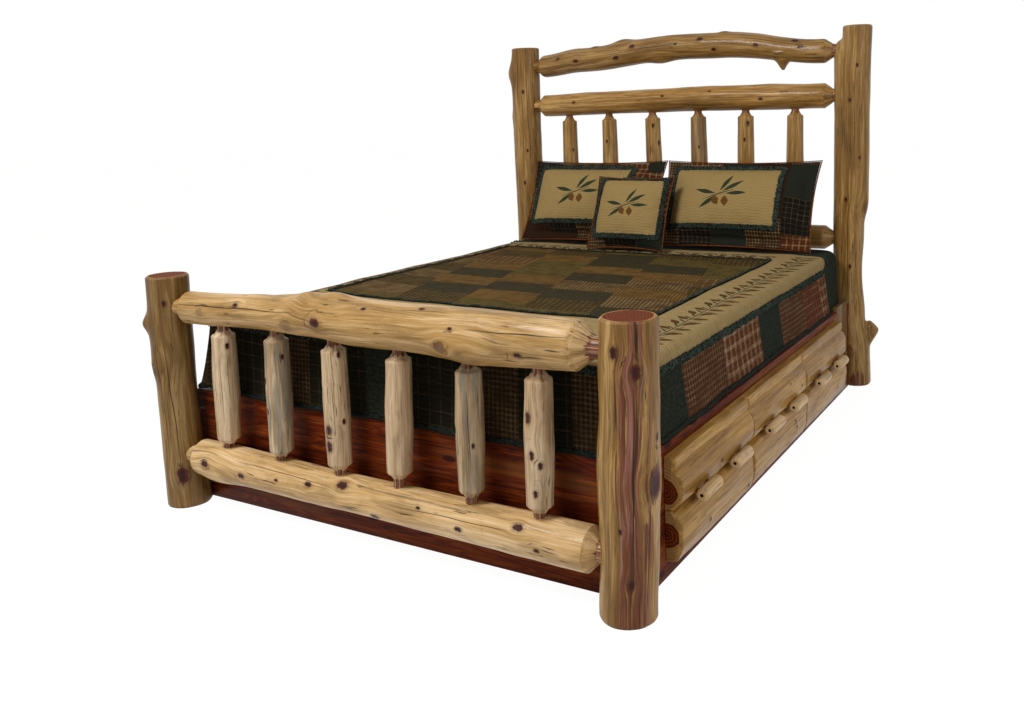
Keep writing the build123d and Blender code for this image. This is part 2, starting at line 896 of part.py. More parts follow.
quilt_inner_x = mattress_width / 2 + seat_clearance
quilt_inner_y = mattress_length / 2 + seat_clearance
with BuildPart() as quilt:
    for height, spread in ((mattress_bottom, quilt_flare), (quilt_top, quilt_thickness)):
        with BuildSketch(Plane.XY.offset(height)):
            RectangleRounded(
                2 * (quilt_inner_x + spread),
                2 * (quilt_inner_y + min(spread, quilt_thickness)),
                mattress_corner + spread,
            )
    loft(ruled=True)
    fillet(quilt.faces().sort_by(Axis.Z)[-1].edges(), quilt_edge_radius)
    with BuildSketch(Plane.XY.offset(mattress_bottom - 1)):
        RectangleRounded(2 * quilt_inner_x, 2 * quilt_inner_y, mattress_corner + seat_clearance)
    extrude(amount=mattress_top + seat_clearance - mattress_bottom + 1, mode=Mode.SUBTRACT)
save(quilt.part, "quilt")


def pillow(width, height, thickness, x, foot_y):
    """Plump cushion standing on the quilt, its lower back edge at foot_y, leaning back."""
    angle = math.radians(pillow_lean)
    rise = height / 2 * math.cos(angle) + thickness / 2 * math.sin(angle)
    drop = pillow_edge * (math.cos(angle) + math.sin(angle) - 1)
    centre_z = quilt_top + seat_clearance + rise - drop
    centre_y = foot_y + height / 2 * math.sin(angle) - thickness / 2 * math.cos(angle)
    frame = Plane(
        origin=(x, centre_y, centre_z), x_dir=(1, 0, 0), z_dir=(0, -math.cos(angle), math.sin(angle))
    )
    with BuildPart() as cushion:
        with BuildSketch(frame.offset(-thickness / 2)):
            Rectangle(width, height)
        extrude(amount=thickness)
        fillet(cushion.edges(), pillow_edge)
    return cushion.part


lean_angle = math.radians(pillow_lean)
spindle_front_y = post_y - spindle_diameter / 2
corner_saving = pillow_edge * (math.sin(lean_angle) + math.cos(lean_angle) - 1)
sham_foot_y = spindle_front_y - seat_clearance + corner_saving - sham_height * math.sin(lean_angle)
throw_foot_y = sham_foot_y - (sham_thickness + seat_clearance) / math.cos(lean_angle)

with BuildPart() as pillow_left:
    add(pillow(sham_width, sham_height, sham_thickness, sham_left_x, sham_foot_y))
save(pillow_left.part, "pillow_left")

with BuildPart() as pillow_right:
    add(pillow(sham_width, sham_height, sham_thickness, sham_right_x, sham_foot_y))
save(pillow_right.part, "pillow_right")

with BuildPart() as pillow_small:
    add(pillow(throw_width, throw_height, throw_thickness, throw_x, throw_foot_y))
save(pillow_small.part, "pillow_small")
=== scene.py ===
import math
import random
from collections import namedtuple

import bmesh
import bpy
import numpy as np
from mathutils import Matrix, Vector, noise
from mathutils.bvhtree import BVHTree


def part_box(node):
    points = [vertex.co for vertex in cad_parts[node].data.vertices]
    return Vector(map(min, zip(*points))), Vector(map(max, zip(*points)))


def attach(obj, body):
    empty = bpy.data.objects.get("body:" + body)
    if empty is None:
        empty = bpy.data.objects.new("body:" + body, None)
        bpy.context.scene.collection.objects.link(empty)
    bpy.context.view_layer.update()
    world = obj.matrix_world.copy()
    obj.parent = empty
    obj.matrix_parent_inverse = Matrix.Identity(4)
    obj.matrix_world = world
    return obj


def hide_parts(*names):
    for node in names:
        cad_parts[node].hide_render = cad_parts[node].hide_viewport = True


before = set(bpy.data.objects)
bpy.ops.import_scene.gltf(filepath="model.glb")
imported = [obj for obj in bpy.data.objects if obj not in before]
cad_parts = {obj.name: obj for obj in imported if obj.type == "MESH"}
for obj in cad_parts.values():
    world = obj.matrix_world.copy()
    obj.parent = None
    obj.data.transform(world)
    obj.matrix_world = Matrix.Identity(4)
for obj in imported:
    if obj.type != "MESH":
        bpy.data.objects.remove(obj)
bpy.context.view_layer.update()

bl_info = {
    "name": "Log Bed",
    "version": (1, 0, 0),
    "blender": (4, 5, 0),
    "location": "View3D > Sidebar > Log Bed",
    "description": "Dresses a log bed with peeled logs, cedar boards, drawer slabs and bedding",
    "category": "Object",
}

# ---------------------------------------------------------------- places read from the frame
mattress_low, mattress_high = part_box("mattress")
quilt_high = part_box("quilt")[1]
case_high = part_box("foot_panel")[1]
post_x = 0.82
post_y = 1.06
footboard_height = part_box("footboard_post_right")[1].z
headboard_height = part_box("headboard_post_right")[1].z
case_top = case_high.z

Section = namedtuple("Section", "along front side radius")
Knot = namedtuple("Knot", "along turn radius lift dark", defaults=(0.0, 1.0))
Crack = namedtuple("Crack", "along turn far_along far_turn width")
Streak = namedtuple("Streak", "low high turn width")
Log = namedtuple("Log", "node name axis sections knots cracks streaks seed pale_low")


# ---------------------------------------------------------------- colours and shader nodes
def rgb(text):
    """Linear colour from a six-figure screen colour."""
    channels = [int(text[i : i + 2], 16) / 255 for i in (1, 3, 5)]
    linear = [c / 12.92 if c <= 0.04045 else ((c + 0.055) / 1.055) ** 2.4 for c in channels]
    return (*linear, 1.0)


def arithmetic(operation, swapped=False):
    def method(self, other=0.0):
        a, b = (other, self) if swapped else (self, other)
        return self.nodes.calc(operation, a, b)

    return method


class Value:
    """A node's output, which can be used in sums."""

    def __init__(self, nodes, socket):
        self.nodes, self.socket = nodes, socket

    __add__ = __radd__ = arithmetic("ADD")
    __mul__ = __rmul__ = arithmetic("MULTIPLY")
    __sub__, __rsub__ = arithmetic("SUBTRACT"), arithmetic("SUBTRACT", True)
    __truediv__, __pow__, __abs__ = map(arithmetic, ("DIVIDE", "POWER", "ABSOLUTE"))


class Nodes:
    """Builds a node tree of a new material or world, a node at a time."""

    def __init__(self, name, kind="materials"):
        self.owner = getattr(bpy.data, kind).new(name)
        self.owner.use_nodes = True
        self.tree = self.owner.node_tree
        self.tree.nodes.clear()

    def add(self, kind, values=(), **settings):
        node = self.tree.nodes.new(f"ShaderNode{kind}")
        for key, value in settings.items():
            setattr(node, key, value)
        for key, value in dict(values).items():
            if isinstance(value, Value):
                self.tree.links.new(value.socket, node.inputs[key])
            else:
                node.inputs[key].default_value = value
        return node

    def out(self, kind, values=(), output=0, **settings):
        return Value(self, self.add(kind, values, **settings).outputs[output])

    def attribute(self, name, output="Vector"):
        return self.out("Attribute", output=output, attribute_name=name)

    def place(self):
        return self.out("TexCoord", output="Object")

    def split(self, vector):
        parts = self.add("SeparateXYZ", {"Vector": vector}).outputs
        return [Value(self, socket) for socket in parts]

    def join(self, x, y, z=0.0):
        return self.out("CombineXYZ", {"X": x, "Y": y, "Z": z})

    def noise(self, vector, scale=1.0, detail=4.0, roughness=0.55, distortion=0.0):
        values = {"Vector": vector, "Scale": scale, "Detail": detail, "Roughness": roughness}
        return self.out("TexNoise", {**values, "Distortion": distortion}, "Fac")

    def scaled(self, vector, scale, shift=(0, 0, 0)):
        return self.out("Mapping", {"Vector": vector, "Scale": scale, "Location": shift})

    def grain(self, across, along, detail, roughness=0.55, distortion=0.0, shift=(0, 0, 0)):
        """Noise drawn out along the wood's grain."""
        place = self.scaled(self.attribute("grain"), (across, across, along), shift)
        return self.noise(place, 1.0, detail, roughness, distortion)

    def calc(self, operation, a, b=0.0, c=0.0):
        return self.out("Math", {0: a, 1: b, 2: c}, operation=operation)

    def step(self, value, low, high):
        """Smooth step from 0 at low to 1 at high, or down where low is above high."""
        values = {"Value": value, "From Min": min(low, high), "From Max": max(low, high)}
        values.update({"To Min": float(low >= high), "To Max": float(low < high)})
        return self.out("MapRange", values, "Result", interpolation_type="SMOOTHSTEP")

    def mix(self, share, a, b):
        return self.out("Mix", {0: share, 6: a, 7: b}, 2, data_type="RGBA")

    def ramp(self, value, *stops):
        node = self.add("ValToRGB", {"Fac": value})
        elements = node.color_ramp.elements
        while len(elements) < len(stops):
            elements.new(0.5)
        for element, stop in zip(elements, stops):
            element.position, element.color = stop
        return Value(self, node.outputs["Color"])

    def bump(self, height, distance, strength=1.0):
        return self.out("Bump", {"Height": height, "Distance": distance, "Strength": strength})

    def background_rays(self):
        """1 for a ray that sees the background: straight, through glass or in a mirror."""
        rays = ("Camera", "Transmission", "Glossy")
        camera, through, mirrored = (self.out("LightPath", output=f"Is {ray} Ray") for ray in rays)
        return self.calc("MAXIMUM", self.calc("MAXIMUM", camera, through), mirrored)

    def finish(self, color, roughness, normal=None, **sockets):
        values = {"Base Color": color, "Roughness": roughness}
        if normal is not None:
            values["Normal"] = normal
        values.update({key.replace("_", " "): value for key, value in sockets.items()})
        self.add("OutputMaterial", {"Surface": self.out("BsdfPrincipled", values)})
        return self.owner


# ---------------------------------------------------------------- wood finishes
def knot_colours(n, color, settings, halo):
    """Paint knots over a wood colour, and give each point's distance from a knot in knot radii."""
    x, y, strength = n.split(n.attribute("knot"))
    wobble = n.noise(n.attribute("knot"), 1.3, 4.0, 0.6)
    reach = (n.calc("SQRT", x**2.0 + y**2.0) + (wobble - 0.5) * 1.1) * 1.35
    color = n.mix(n.step(reach, 2.2, 0.9) * strength * 0.5, color, halo)
    dark, ring = settings.knot, settings.knot_ring
    core = n.ramp(reach * 0.8, (0.40, dark), (0.58, ring), (0.72, ring), (0.84, dark))
    return n.mix(n.step(reach, 1.10, 0.98) * strength, color, core), reach


def peeled_log(name, woods, settings, stain=0.0, mottle=0.35, deep=None):
    """Varnished sapwood with streaks and flecks, dark knots, drying cracks and red heartwood."""
    n = Nodes(name)
    pale, sap, shade = woods
    deep = deep or settings.deep
    fine = n.grain(210, 7, 4.0, 0.6)
    streak = n.grain(52, 2.6, 6.0, 0.62)
    tone = n.grain(10, 2.2, 3.0, 0.5) * 0.30 + (streak * 0.42 + fine * 0.34)
    color = n.ramp(tone, (0.38, shade), (0.52, sap), (0.64, pale))
    cloud = n.grain(26, 7, 4.0, 0.6, shift=(9, 2, 4))
    color = n.mix(n.step(cloud, 0.50, 0.66) * mottle, color, rgb("#5f4a28"))
    fleck = n.grain(150, 11, 3.0, 0.6, shift=(5, 3, 1))
    gather = n.grain(17, 5, 2.0, shift=(2, 6, 8))
    color = n.mix(n.step(fleck, 0.60, 0.67) * n.step(gather, 0.45, 0.58) * 0.85, color, deep)
    line = n.grain(80, 1.6, 4.0, 0.65, shift=(3, 1, 7))
    color = n.mix(n.step(line, 0.60, 0.66) * 0.5, color, deep)
    if stain:
        blue = n.grain(30, 3, 4.0, 0.6, shift=(1, 2, 9))
        color = n.mix(n.step(blue, 0.46, 0.62) * stain, color, rgb("#5f625c"))
    edge = (n.grain(60, 1.5, 5.0, 0.65, shift=(7, 7, 3)) - 0.5) * 2.6 + n.attribute("heart", "Fac")
    red = n.grain(95, 2.6, 5.0, 0.65, shift=(1, 5, 2))
    hearts = zip((0.34, 0.5, 0.66), (settings.heart_dark, settings.heart, settings.heart_pale))
    red = n.ramp(red, *hearts)
    inner = n.grain(95, 1.1, 4.0, 0.6, shift=(2, 9, 4))
    red = n.mix(n.step(inner, 0.535, 0.60) * settings.streaked, red, color)
    color = n.mix(n.step(edge, 0.44, 0.60), color, red)
    color, reach = knot_colours(n, color, settings, deep)
    across, strength, _ = n.split(n.attribute("crack"))
    crack = n.step(abs((fine - 0.5) * 2.0 + across), 1.5, 0.6) * strength
    color = n.mix(crack * 0.95, color, rgb("#1c0f07"))
    facet = n.grain(34, 9, 2.0, shift=(6, 6, 6))
    height = fine * 0.35 + facet * 2.2 - crack * 1.5
    height = height + n.step(reach, 2.2, 1.0) * 0.9 - n.step(reach, 1.0, 0.5) * 1.2
    gloss = {"Coat_Weight": settings.varnish, "Coat_Roughness": 0.08, "Specular_IOR_Level": 0.12}
    return n.finish(color, streak * 0.25 + settings.roughness, n.bump(height, 0.0016, 0.6), **gloss)


def end_grain(name, settings, heart_share, sap=rgb("#a98552"), sap_dark=rgb("#7c5a30")):
    """Sawn end of a log: growth rings, red heart and a cream sapwood rim."""
    n = Nodes(name)
    x, y, _ = n.split(n.attribute("grain"))
    reach = n.calc("SQRT", x**2.0 + y**2.0) + (n.grain(22, 4, 3.0) - 0.5) * 0.022
    rings = n.calc("SINE", reach * 780.0) * 0.5 + 0.5
    heart = n.mix(rings, rgb("#3c1509"), rgb("#7a3a1a"))
    sap = n.mix(rings * 0.6, sap, sap_dark)
    share = reach / n.attribute("girth", "Fac")
    color = n.mix(n.step(share, heart_share + 0.03, heart_share - 0.03), sap, heart)
    spokes = n.grain(130, 10, 3.0)
    color = n.mix(n.step(spokes, 0.60, 0.70) * 0.4, color, settings.knot)
    return n.finish(color, 0.6, n.bump(rings + spokes, 0.0006, 0.5), Specular_IOR_Level=0.05)


def board_wood(name, woods, sap_share, varnish, roughness, knots=1.0):
    """Sawn board: long streaks, cathedral figure and scattered small knots."""
    n = Nodes(name)
    dark, middle, light, sapwood = (rgb(wood) for wood in woods)
    warp = n.grain(9, 1.3, 3.0)
    figure = n.grain(34, 1.4, 6.0, 0.6, 0.6)
    fine = n.grain(320, 9, 3.0, 0.6)
    rings = n.calc("SINE", (warp + figure * 0.4) * 95.0)
    tone = fine * 0.22 + (figure * 0.75 + rings * 0.06)
    color = n.ramp(tone, (0.34, dark), (0.50, middle), (0.66, light))
    pale = n.grain(13, 0.8, 2.0, shift=(4, 8, 1))
    color = n.mix(n.step(pale, 0.60, 0.66) * sap_share, color, sapwood)
    place = n.scaled(n.attribute("grain"), (9.0, 9.0, 3.6))
    spots = n.out("TexVoronoi", {"Vector": place, "Scale": 1.0}, "Distance")
    color = n.mix(n.step(spots, 0.30, 0.08) * (0.5 * knots), color, middle)
    spot = n.step(spots + warp * 0.05, 0.135, 0.085)
    color = n.mix(spot * (0.85 * knots), color, rgb("#1d0803"))
    normal = n.bump(fine + figure, 0.0005, 0.35)
    gloss = {"Coat_Weight": varnish, "Coat_Roughness": 0.15, "Specular_IOR_Level": 0.06}
    return n.finish(color, roughness, normal, **gloss)


def plain_wood(name, dark, light, turned=(0, 0, 0)):
    """Bare case timber seen through its gaps: soft streaks along the piece."""
    n = Nodes(name)
    place = n.out("Mapping", {"Vector": n.place(), "Rotation": turned})
    figure = n.noise(n.scaled(place, (2.2, 40, 40)), 1.0, 5.0, 0.6, 0.4)
    fine = n.noise(n.scaled(place, (12, 420, 420)), 1.0, 2.0)
    color = n.ramp(fine * 0.25 + figure, (0.45, rgb(dark)), (0.75, rgb(light)))
    return n.finish(color, 0.6, n.bump(fine, 0.0003, 0.4))


def zinc(name):
    """Dull plated steel."""
    n = Nodes(name)
    spangle = n.noise(n.place(), 140.0, 2.0)
    color = n.ramp(spangle, (0.35, rgb("#8d9092")), (0.65, rgb("#b4b7b9")))
    return n.finish(color, spangle * 0.3 + 0.25, Metallic=1.0)


# ---------------------------------------------------------------- mesh helpers
def tube(bm, rows, around, place):
    """Closed tube through place(row, share of a turn), with both ends filled."""
    made = bmesh.ops.create_grid(bm, x_segments=rows - 1, y_segments=around, size=1.0)["verts"]
    for v in made:
        row = round((v.co.x + 1) / 2 * (rows - 1))
        turn = round((v.co.y + 1) / 2 * around) % around / around
        v.co = place(row, turn)
    merged = bmesh.ops.find_doubles(bm, verts=made, dist=1e-6)["targetmap"]
    kept = [v for v in made if v not in merged]
    bmesh.ops.weld_verts(bm, targetmap=merged)
    ends = [e for e in {e for v in kept for e in v.link_edges} if e.is_boundary]
    bmesh.ops.holes_fill(bm, edges=ends, sides=0)
    faces = list({f for v in kept for f in v.link_faces})
    bmesh.ops.recalc_face_normals(bm, faces=faces)
    return kept


bevel_settings = {"offset_type": "OFFSET", "affect": "EDGES", "profile": 0.5, "material": -1}


def block(bm, low, high, bevel=0.0015, segments=2):
    """Squared board between two corners, with eased edges."""
    made = bmesh.ops.create_cube(bm, size=1.0)["verts"]
    bmesh.ops.scale(bm, vec=Vector(high) - Vector(low), verts=made)
    bmesh.ops.translate(bm, vec=(Vector(high) + Vector(low)) / 2, verts=made)
    if bevel:
        edges = list({e for v in made for e in v.link_edges})
        bmesh.ops.bevel(bm, geom=edges, offset=bevel, segments=segments, **bevel_settings)


def mesh_of(bm, name):
    mesh = bpy.data.meshes.new(name)
    bm.to_mesh(mesh)
    bm.free()
    return mesh


def placed(name, data):
    obj = bpy.data.objects.new(name, data)
    bpy.context.scene.collection.objects.link(obj)
    return obj


def show(name, mesh, materials, body, slot, nodes=(), sharp=40):
    """Make a finished piece of a mesh that is already in its place."""
    obj = placed(name, mesh)
    for material in materials:
        mesh.materials.append(material)
    mesh.shade_smooth()
    mesh.set_sharp_from_angle(angle=math.radians(sharp))
    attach(obj, body)
    if nodes:
        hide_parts(*nodes)
    return obj


def thicken(obj, thickness, offset=0.0):
    solid = obj.modifiers.new("Thickness", "SOLIDIFY")
    solid.thickness, solid.offset = thickness, offset


def round_point(centre, turn, across, up):
    """Point of an ellipse about a centre, turned by a share of a whole turn."""
    return centre + across * math.cos(turn * math.tau) + up * math.sin(turn * math.tau)


def put_attribute(mesh, name, kind, values):
    attribute = mesh.attributes.get(name) or mesh.attributes.new(name, kind, "POINT")
    field = "vector" if kind == "FLOAT_VECTOR" else "value"
    attribute.data.foreach_set(field, np.asarray(values, np.float32).ravel())


def baked(obj):
    """Copy of an object's mesh with its modifiers applied."""
    depsgraph = bpy.context.evaluated_depsgraph_get()
    return bpy.data.meshes.new_from_object(obj.evaluated_get(depsgraph))


def remeshed(mesh, voxel, smooth):
    """One closed skin over a mesh's overlapping forms."""
    obj = placed("work", mesh)
    remesh = obj.modifiers.new("Remesh", "REMESH")
    remesh.mode, remesh.voxel_size = "VOXEL", voxel
    relax = obj.modifiers.new("Smooth", "SMOOTH")
    relax.factor, relax.iterations = 0.5, smooth
    result = baked(obj)
    bpy.data.objects.remove(obj)
    return result


# ---------------------------------------------------------------- logs
MAIN, SIDE = {"X": 0, "Z": 2}, {"X": 2, "Z": 0}
shoulder_slope = 0.3


def round_sections(node, axis):
    """Sections of a straight or leaning CAD log, read from the circles in its mesh."""
    main, side = MAIN[axis], SIDE[axis]
    points = np.array([v.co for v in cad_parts[node].data.vertices])
    points = np.unique(points.round(6), axis=0)
    low, high = points[:, main].min(), points[:, main].max()
    foot = points[points[:, main] < low + 0.003].mean(axis=0)
    head = points[points[:, main] > high - 0.003].mean(axis=0)
    way = np.zeros(3)
    way[main] = 1.0
    if axis == "Z":
        way = (head - foot) / np.linalg.norm(head - foot)
    reach = ((points - foot) @ way).round(4)
    found = []
    for place in np.unique(reach):
        ring = points[np.abs(reach - place) < 1e-4]
        if len(ring) < 12:
            continue
        middle = (ring.min(axis=0) + ring.max(axis=0)) / 2
        radii = np.linalg.norm(ring - middle, axis=1)
        if radii.std() < 0.0002 and radii.mean() > 0.012:
            found.append(Section(middle[main], -middle[1], middle[side], radii.mean()))
    found.sort()
    return [s for i, s in enumerate(found) if i == 0 or s.along - found[i - 1].along > 1e-5]


def section_at(sections, along):
    """The log's section at a place: curved along its body, straight down its shoulders."""
    along = min(max(along, sections[0].along), sections[-1].along)
    for low, high in zip(sections, sections[1:]):
        if along <= high.along:
            break
    share = (along - low.along) / (high.along - low.along)
    if abs(high.radius - low.radius) < shoulder_slope * (high.along - low.along):
        share = share * share * (3 - 2 * share)
    return Section(*(a + (b - a) * share for a, b in zip(low, high)))


def body_sections(sections):
    widest = max(s.radius for s in sections)
    return [s for s in sections if s.radius > 0.72 * widest]


def angle_between(a, b):
    """Signed difference of two angles in degrees, from -180 to 180."""
    return (a - b + 180) % 360 - 180


def grown_radius(log, along, turn, section, whole):
    """Radius of the log's surface with its hollows, flats and knots."""
    cut = section.radius / whole
    a = math.radians(turn)
    ripple = min(1.0, max(0.0, (cut - 0.8) / 0.18))
    slow = noise.noise(Vector((math.cos(a) * 1.1, math.sin(a) * 1.1, along * 4.5 + log.seed * 7.3)))
    quick = noise.noise(Vector((math.cos(a) * 2.6, math.sin(a) * 2.6, along * 13 + log.seed * 3.1)))
    flats = math.cos(7 * a + 5 * noise.noise(Vector((along * 3, log.seed, 0.5))))
    radius = section.radius * (1 + ripple * (0.045 * slow + 0.018 * quick + 0.006 * flats))
    for knot in log.knots:
        across = math.radians(angle_between(turn, knot.turn)) * whole
        away = math.hypot(across, (along - knot.along) * 0.8) / knot.radius
        if knot.lift and away < 5:
            radius += knot.lift * math.exp(-((away / 1.7) ** 2)) * ripple
        if knot.dark and away < 2:
            radius -= 0.0025 * math.exp(-((away / 0.7) ** 2)) * ripple
    for crack in log.cracks:
        share = (along - crack.along) / (crack.far_along - crack.along)
        if 0 < share < 1:
            line = crack.turn + (crack.far_turn - crack.turn) * share
            across = abs(math.radians(angle_between(turn, line)) * whole)
            radius -= 0.0016 * math.exp(-((across / 0.004) ** 2)) * math.sin(math.pi * share) ** 0.3
    return radius


def log_point(log, along, turn, shape=None):
    """Point on the log's surface: turn is in degrees from the foot side, up or to the right."""
    section = section_at(log.sections, along)
    whole = section_at(shape or body_sections(log.sections), along).radius
    radius = grown_radius(log, along, turn, section, whole)
    a = math.radians(turn)
    point = Vector((0, 0, 0))
    point[MAIN[log.axis]] = along
    point.y = -(section.front + radius * math.cos(a))
    point[SIDE[log.axis]] = section.side + radius * math.sin(a)
    return point


def ring_places(sections, step):
    """Places of the rings along a log, with one at each section."""
    places = []
    for low, high in zip(sections, sections[1:]):
        count = max(1, math.ceil((high.along - low.along) / step))
        places += [low.along + (high.along - low.along) * i / count for i in range(count)]
    return places + [sections[-1].along]


def grow(bm, log, around=64, step=0.007):
    """Add a log's skin to a bmesh."""
    places = ring_places(log.sections, step)
    shape = body_sections(log.sections)
    def surface(row, turn):
        return log_point(log, places[row], turn * 360, shape)

    return tube(bm, len(places), around, surface)


mark_reach = 2.8
crack_reach = 14.0
no_knot, no_crack = (6.0, 0.0, 0.0), (crack_reach, 0.0, 0.0)


def knot_mark(across, up, dark):
    """Place beside a knot in knot radii, held at a limit, and how dark the knot is there."""
    away = max(math.hypot(across, up), 1e-6)
    hold = min(away, mark_reach) / away
    fade = min(1.0, max(0.0, (mark_reach - away) / 0.5))
    return across * hold, up * hold, dark * fade


def mark_rows(mesh, rows):
    """Attributes that the wood finishes read: a (grain, knot, crack, heart, girth) row a point."""
    names = ("grain", "knot", "crack", "heart", "girth")
    for name, values in zip(names, zip(*rows)):
        put_attribute(mesh, name, "FLOAT" if name in ("heart", "girth") else "FLOAT_VECTOR", values)


def nearest_knot(log, along, turn, whole):
    """The mark of the knot nearest to a point, and the point's turn bent round the knots."""
    bent, nearest, value = turn, 99.0, no_knot
    for knot in log.knots:
        across = math.radians(angle_between(turn, knot.turn)) * whole
        up = along - knot.along
        away = math.hypot(across, up * 0.8) / knot.radius
        if away < nearest:
            nearest = away
            value = knot_mark(across / knot.radius, up * 0.6 / knot.radius, knot.dark)
        if away < 6:
            pull = 0.75 * math.exp(-((away / 2.2) ** 2))
            bent -= math.degrees(across * pull / whole)
    return value, bent


def nearest_crack(log, along, turn, whole):
    value = no_crack
    for crack in log.cracks:
        share = (along - crack.along) / (crack.far_along - crack.along)
        if -0.05 < share < 1.05:
            line = crack.turn + (crack.far_turn - crack.turn) * share
            line += 3.0 * noise.noise(Vector((along * 9, log.seed, 2.0)))
            across = math.radians(angle_between(turn, line)) * whole / crack.width
            fade = max(0.0, math.sin(math.pi * min(max(share, 0), 1))) ** 0.4
            if abs(across) < abs(value[0]):
                value = (across, fade, 0.0)
    return value


def redness(log, along, turn, slimness):
    """How far the red heartwood shows: on cut shoulders and along the log's streaks."""
    red = 1.0 - min(1.0, max(0.0, (slimness - 0.49) / 0.26))
    if log.pale_low and along < 0:
        red = 0.0
    for streak in log.streaks:
        drift = 14 * noise.noise(Vector((along * 5, 3, log.seed)))
        edge = abs(angle_between(turn, streak.turn + drift))
        ends = min((along - streak.low) / 0.05, (streak.high - along) / 0.05, 1.0)
        red = max(red, min(1.0, 0.5 + (streak.width - edge) / streak.width * 0.6) * max(0.0, ends))
    return red


def show_log(mesh, log, materials, slot):
    """Mark a log's mesh from where each point lies on the log, and show it."""
    main, side = MAIN[log.axis], SIDE[log.axis]
    shape = body_sections(log.sections)
    rows = []
    for v in mesh.vertices:
        along = v.co[main]
        section = section_at(log.sections, along)
        whole = section_at(shape, along).radius
        front, over = -v.co.y - section.front, v.co[side] - section.side
        turn = math.degrees(math.atan2(over, front))
        knot, bent = nearest_knot(log, along, turn, whole)
        a = math.radians(bent)
        spread = math.hypot(front, over) if log.name.startswith("post") else whole
        grain = (spread * math.cos(a), spread * math.sin(a), along + log.seed * 3.7)
        red = redness(log, along, turn, section.radius / whole)
        rows.append((grain, knot, nearest_crack(log, along, turn, whole), red, whole))
    mark_rows(mesh, rows)
    ends = log.sections[0].along, log.sections[-1].along
    for face in mesh.polygons:
        near = min(abs(face.center[main] - end) for end in ends) < 0.002
        face.material_index = int(near and abs(face.normal[main]) > 0.85)
    return show(log.name, mesh, materials, "bed_frame", slot, [log.node])


def make_log(log, materials, slot, around=64, step=0.007):
    bm = bmesh.new()
    grow(bm, log, around, step)
    return show_log(mesh_of(bm, log.name), log, materials, slot)


def make_marked(
    node, name, axis, sections, knots=(), cracks=(), streaks=(), seed=0, pale_low=False
):
    """Log with its marks given as rows of numbers."""
    kinds = (Knot, knots), (Crack, cracks), (Streak, streaks)
    rows = [[kind(*row) for row in table] for kind, table in kinds]
    return Log(node, name, axis, sections, *rows, seed, pale_low)


def post_log(end, side, x, y, height, shape, **marks):
    sections = post_sections(x, y, height, shape)
    return make_marked(f"{end}_post_{side}", f"post_{end}_{side}_log", "Z", sections, **marks)


def rail_log(end, place, **marks):
    node = f"{end}_{place}_rail"
    return make_marked(node, f"rail_{end}_{place}_log", "X", round_sections(node, "X"), **marks)


def post_sections(x, y, height, shape):
    """Sections of a standing post from (share of height, dx, dy, radius), with a bevelled top."""
    bevel = 0.005
    rows = [Section(height * share, -(y + dy), x + dx, radius) for share, dx, dy, radius in shape]
    top = rows.pop()
    rows.append(Section(height - bevel, top.front, top.side, top.radius))
    rows.append(Section(height, top.front, top.side, top.radius - bevel))
    foot = rows[0]
    rows[0] = Section(0.0, foot.front, foot.side, foot.radius - 0.003)
    rows.insert(1, Section(0.006, foot.front, foot.side, foot.radius))
    return rows


footboard_left_shape = (
    (0, 0.008, 0.004, 0.067), (0.25, 0.006, 0, 0.062), (0.5, 0.003, 0, 0.060), (0.75, 0, 0, 0.063),
    (1, 0.004, 0, 0.064),
)
footboard_right_shape = (
    (0, -0.022, 0.006, 0.071), (0.25, -0.012, 0.004, 0.072), (0.5, -0.006, 0, 0.076),
    (0.75, 0, 0, 0.073), (1, 0.006, 0, 0.070),
)
headboard_left_shape = (
    (0, -0.002, 0, 0.070), (0.3, -0.004, 0, 0.068), (0.6, -0.008, 0.002, 0.069),
    (0.85, -0.006, 0, 0.070), (1, 0, 0, 0.068),
)
headboard_right_shape = (
    (0, 0.002, 0, 0.064), (0.1, 0, 0, 0.062), (0.2, -0.014, -0.006, 0.054),
    (0.32, -0.020, -0.008, 0.048), (0.45, -0.016, -0.006, 0.052), (0.55, -0.008, 0, 0.060),
    (0.85, -0.006, 0, 0.062), (1, 0.004, 0, 0.060),
)
second_stem_height = 1.470
second_stem_x = post_x - 0.044
second_stem_radii = (0.052, 0.048)
branch_root = Vector((post_x - 0.008, post_y, 0.160))
branch_way = Vector((1, 0, 1)).normalized()
branch_turn = 15
branch_length = 0.122
branch_radii = (0.050, 0.030)

footboard_left_log = post_log(
    "footboard", "left", -post_x, -post_y, footboard_height, footboard_left_shape,
    knots=[
        (0.455, -20, 0.014, 0.005), (0.668, 40, 0.007), (0.111, 43, 0.020, 0.008),
        (0.600, -42, 0.013, 0.017, 0.0), (0.490, 12, 0.024, 0.008, 0.0), (0.40, 150, 0.010),
        (0.62, 200, 0.008),
    ],
    cracks=[(0.12, 43, 0.55, 30, 0.0012), (0.20, 10, 0.62, 2, 0.0009)],
    seed=1,
)
footboard_right_log = post_log(
    "footboard", "right", post_x, -post_y, footboard_height, footboard_right_shape,
    knots=[
        (0.679, -3, 0.011, 0.002), (0.634, 39, 0.014, 0.004), (0.360, 80, 0.023, 0.005),
        (0.115, 31, 0.010), (0.469, 91, 0.007), (0.25, 10, 0.005), (0.50, 170, 0.012, 0.004),
        (0.30, 230, 0.009),
    ],
    cracks=[
        (0.655, 41, 0.765, 39, 0.0032), (0.10, 34, 0.60, 36, 0.0014), (0.05, 66, 0.40, 70, 0.0009),
        (0.42, -12, 0.62, -8, 0.0008),
    ],
    streaks=[(-0.1, 0.9, 33, 27), (-0.1, 0.31, 46, 34), (0.29, 0.43, 80, 25), (0.59, 0.68, 39, 36)],
    seed=2,
)
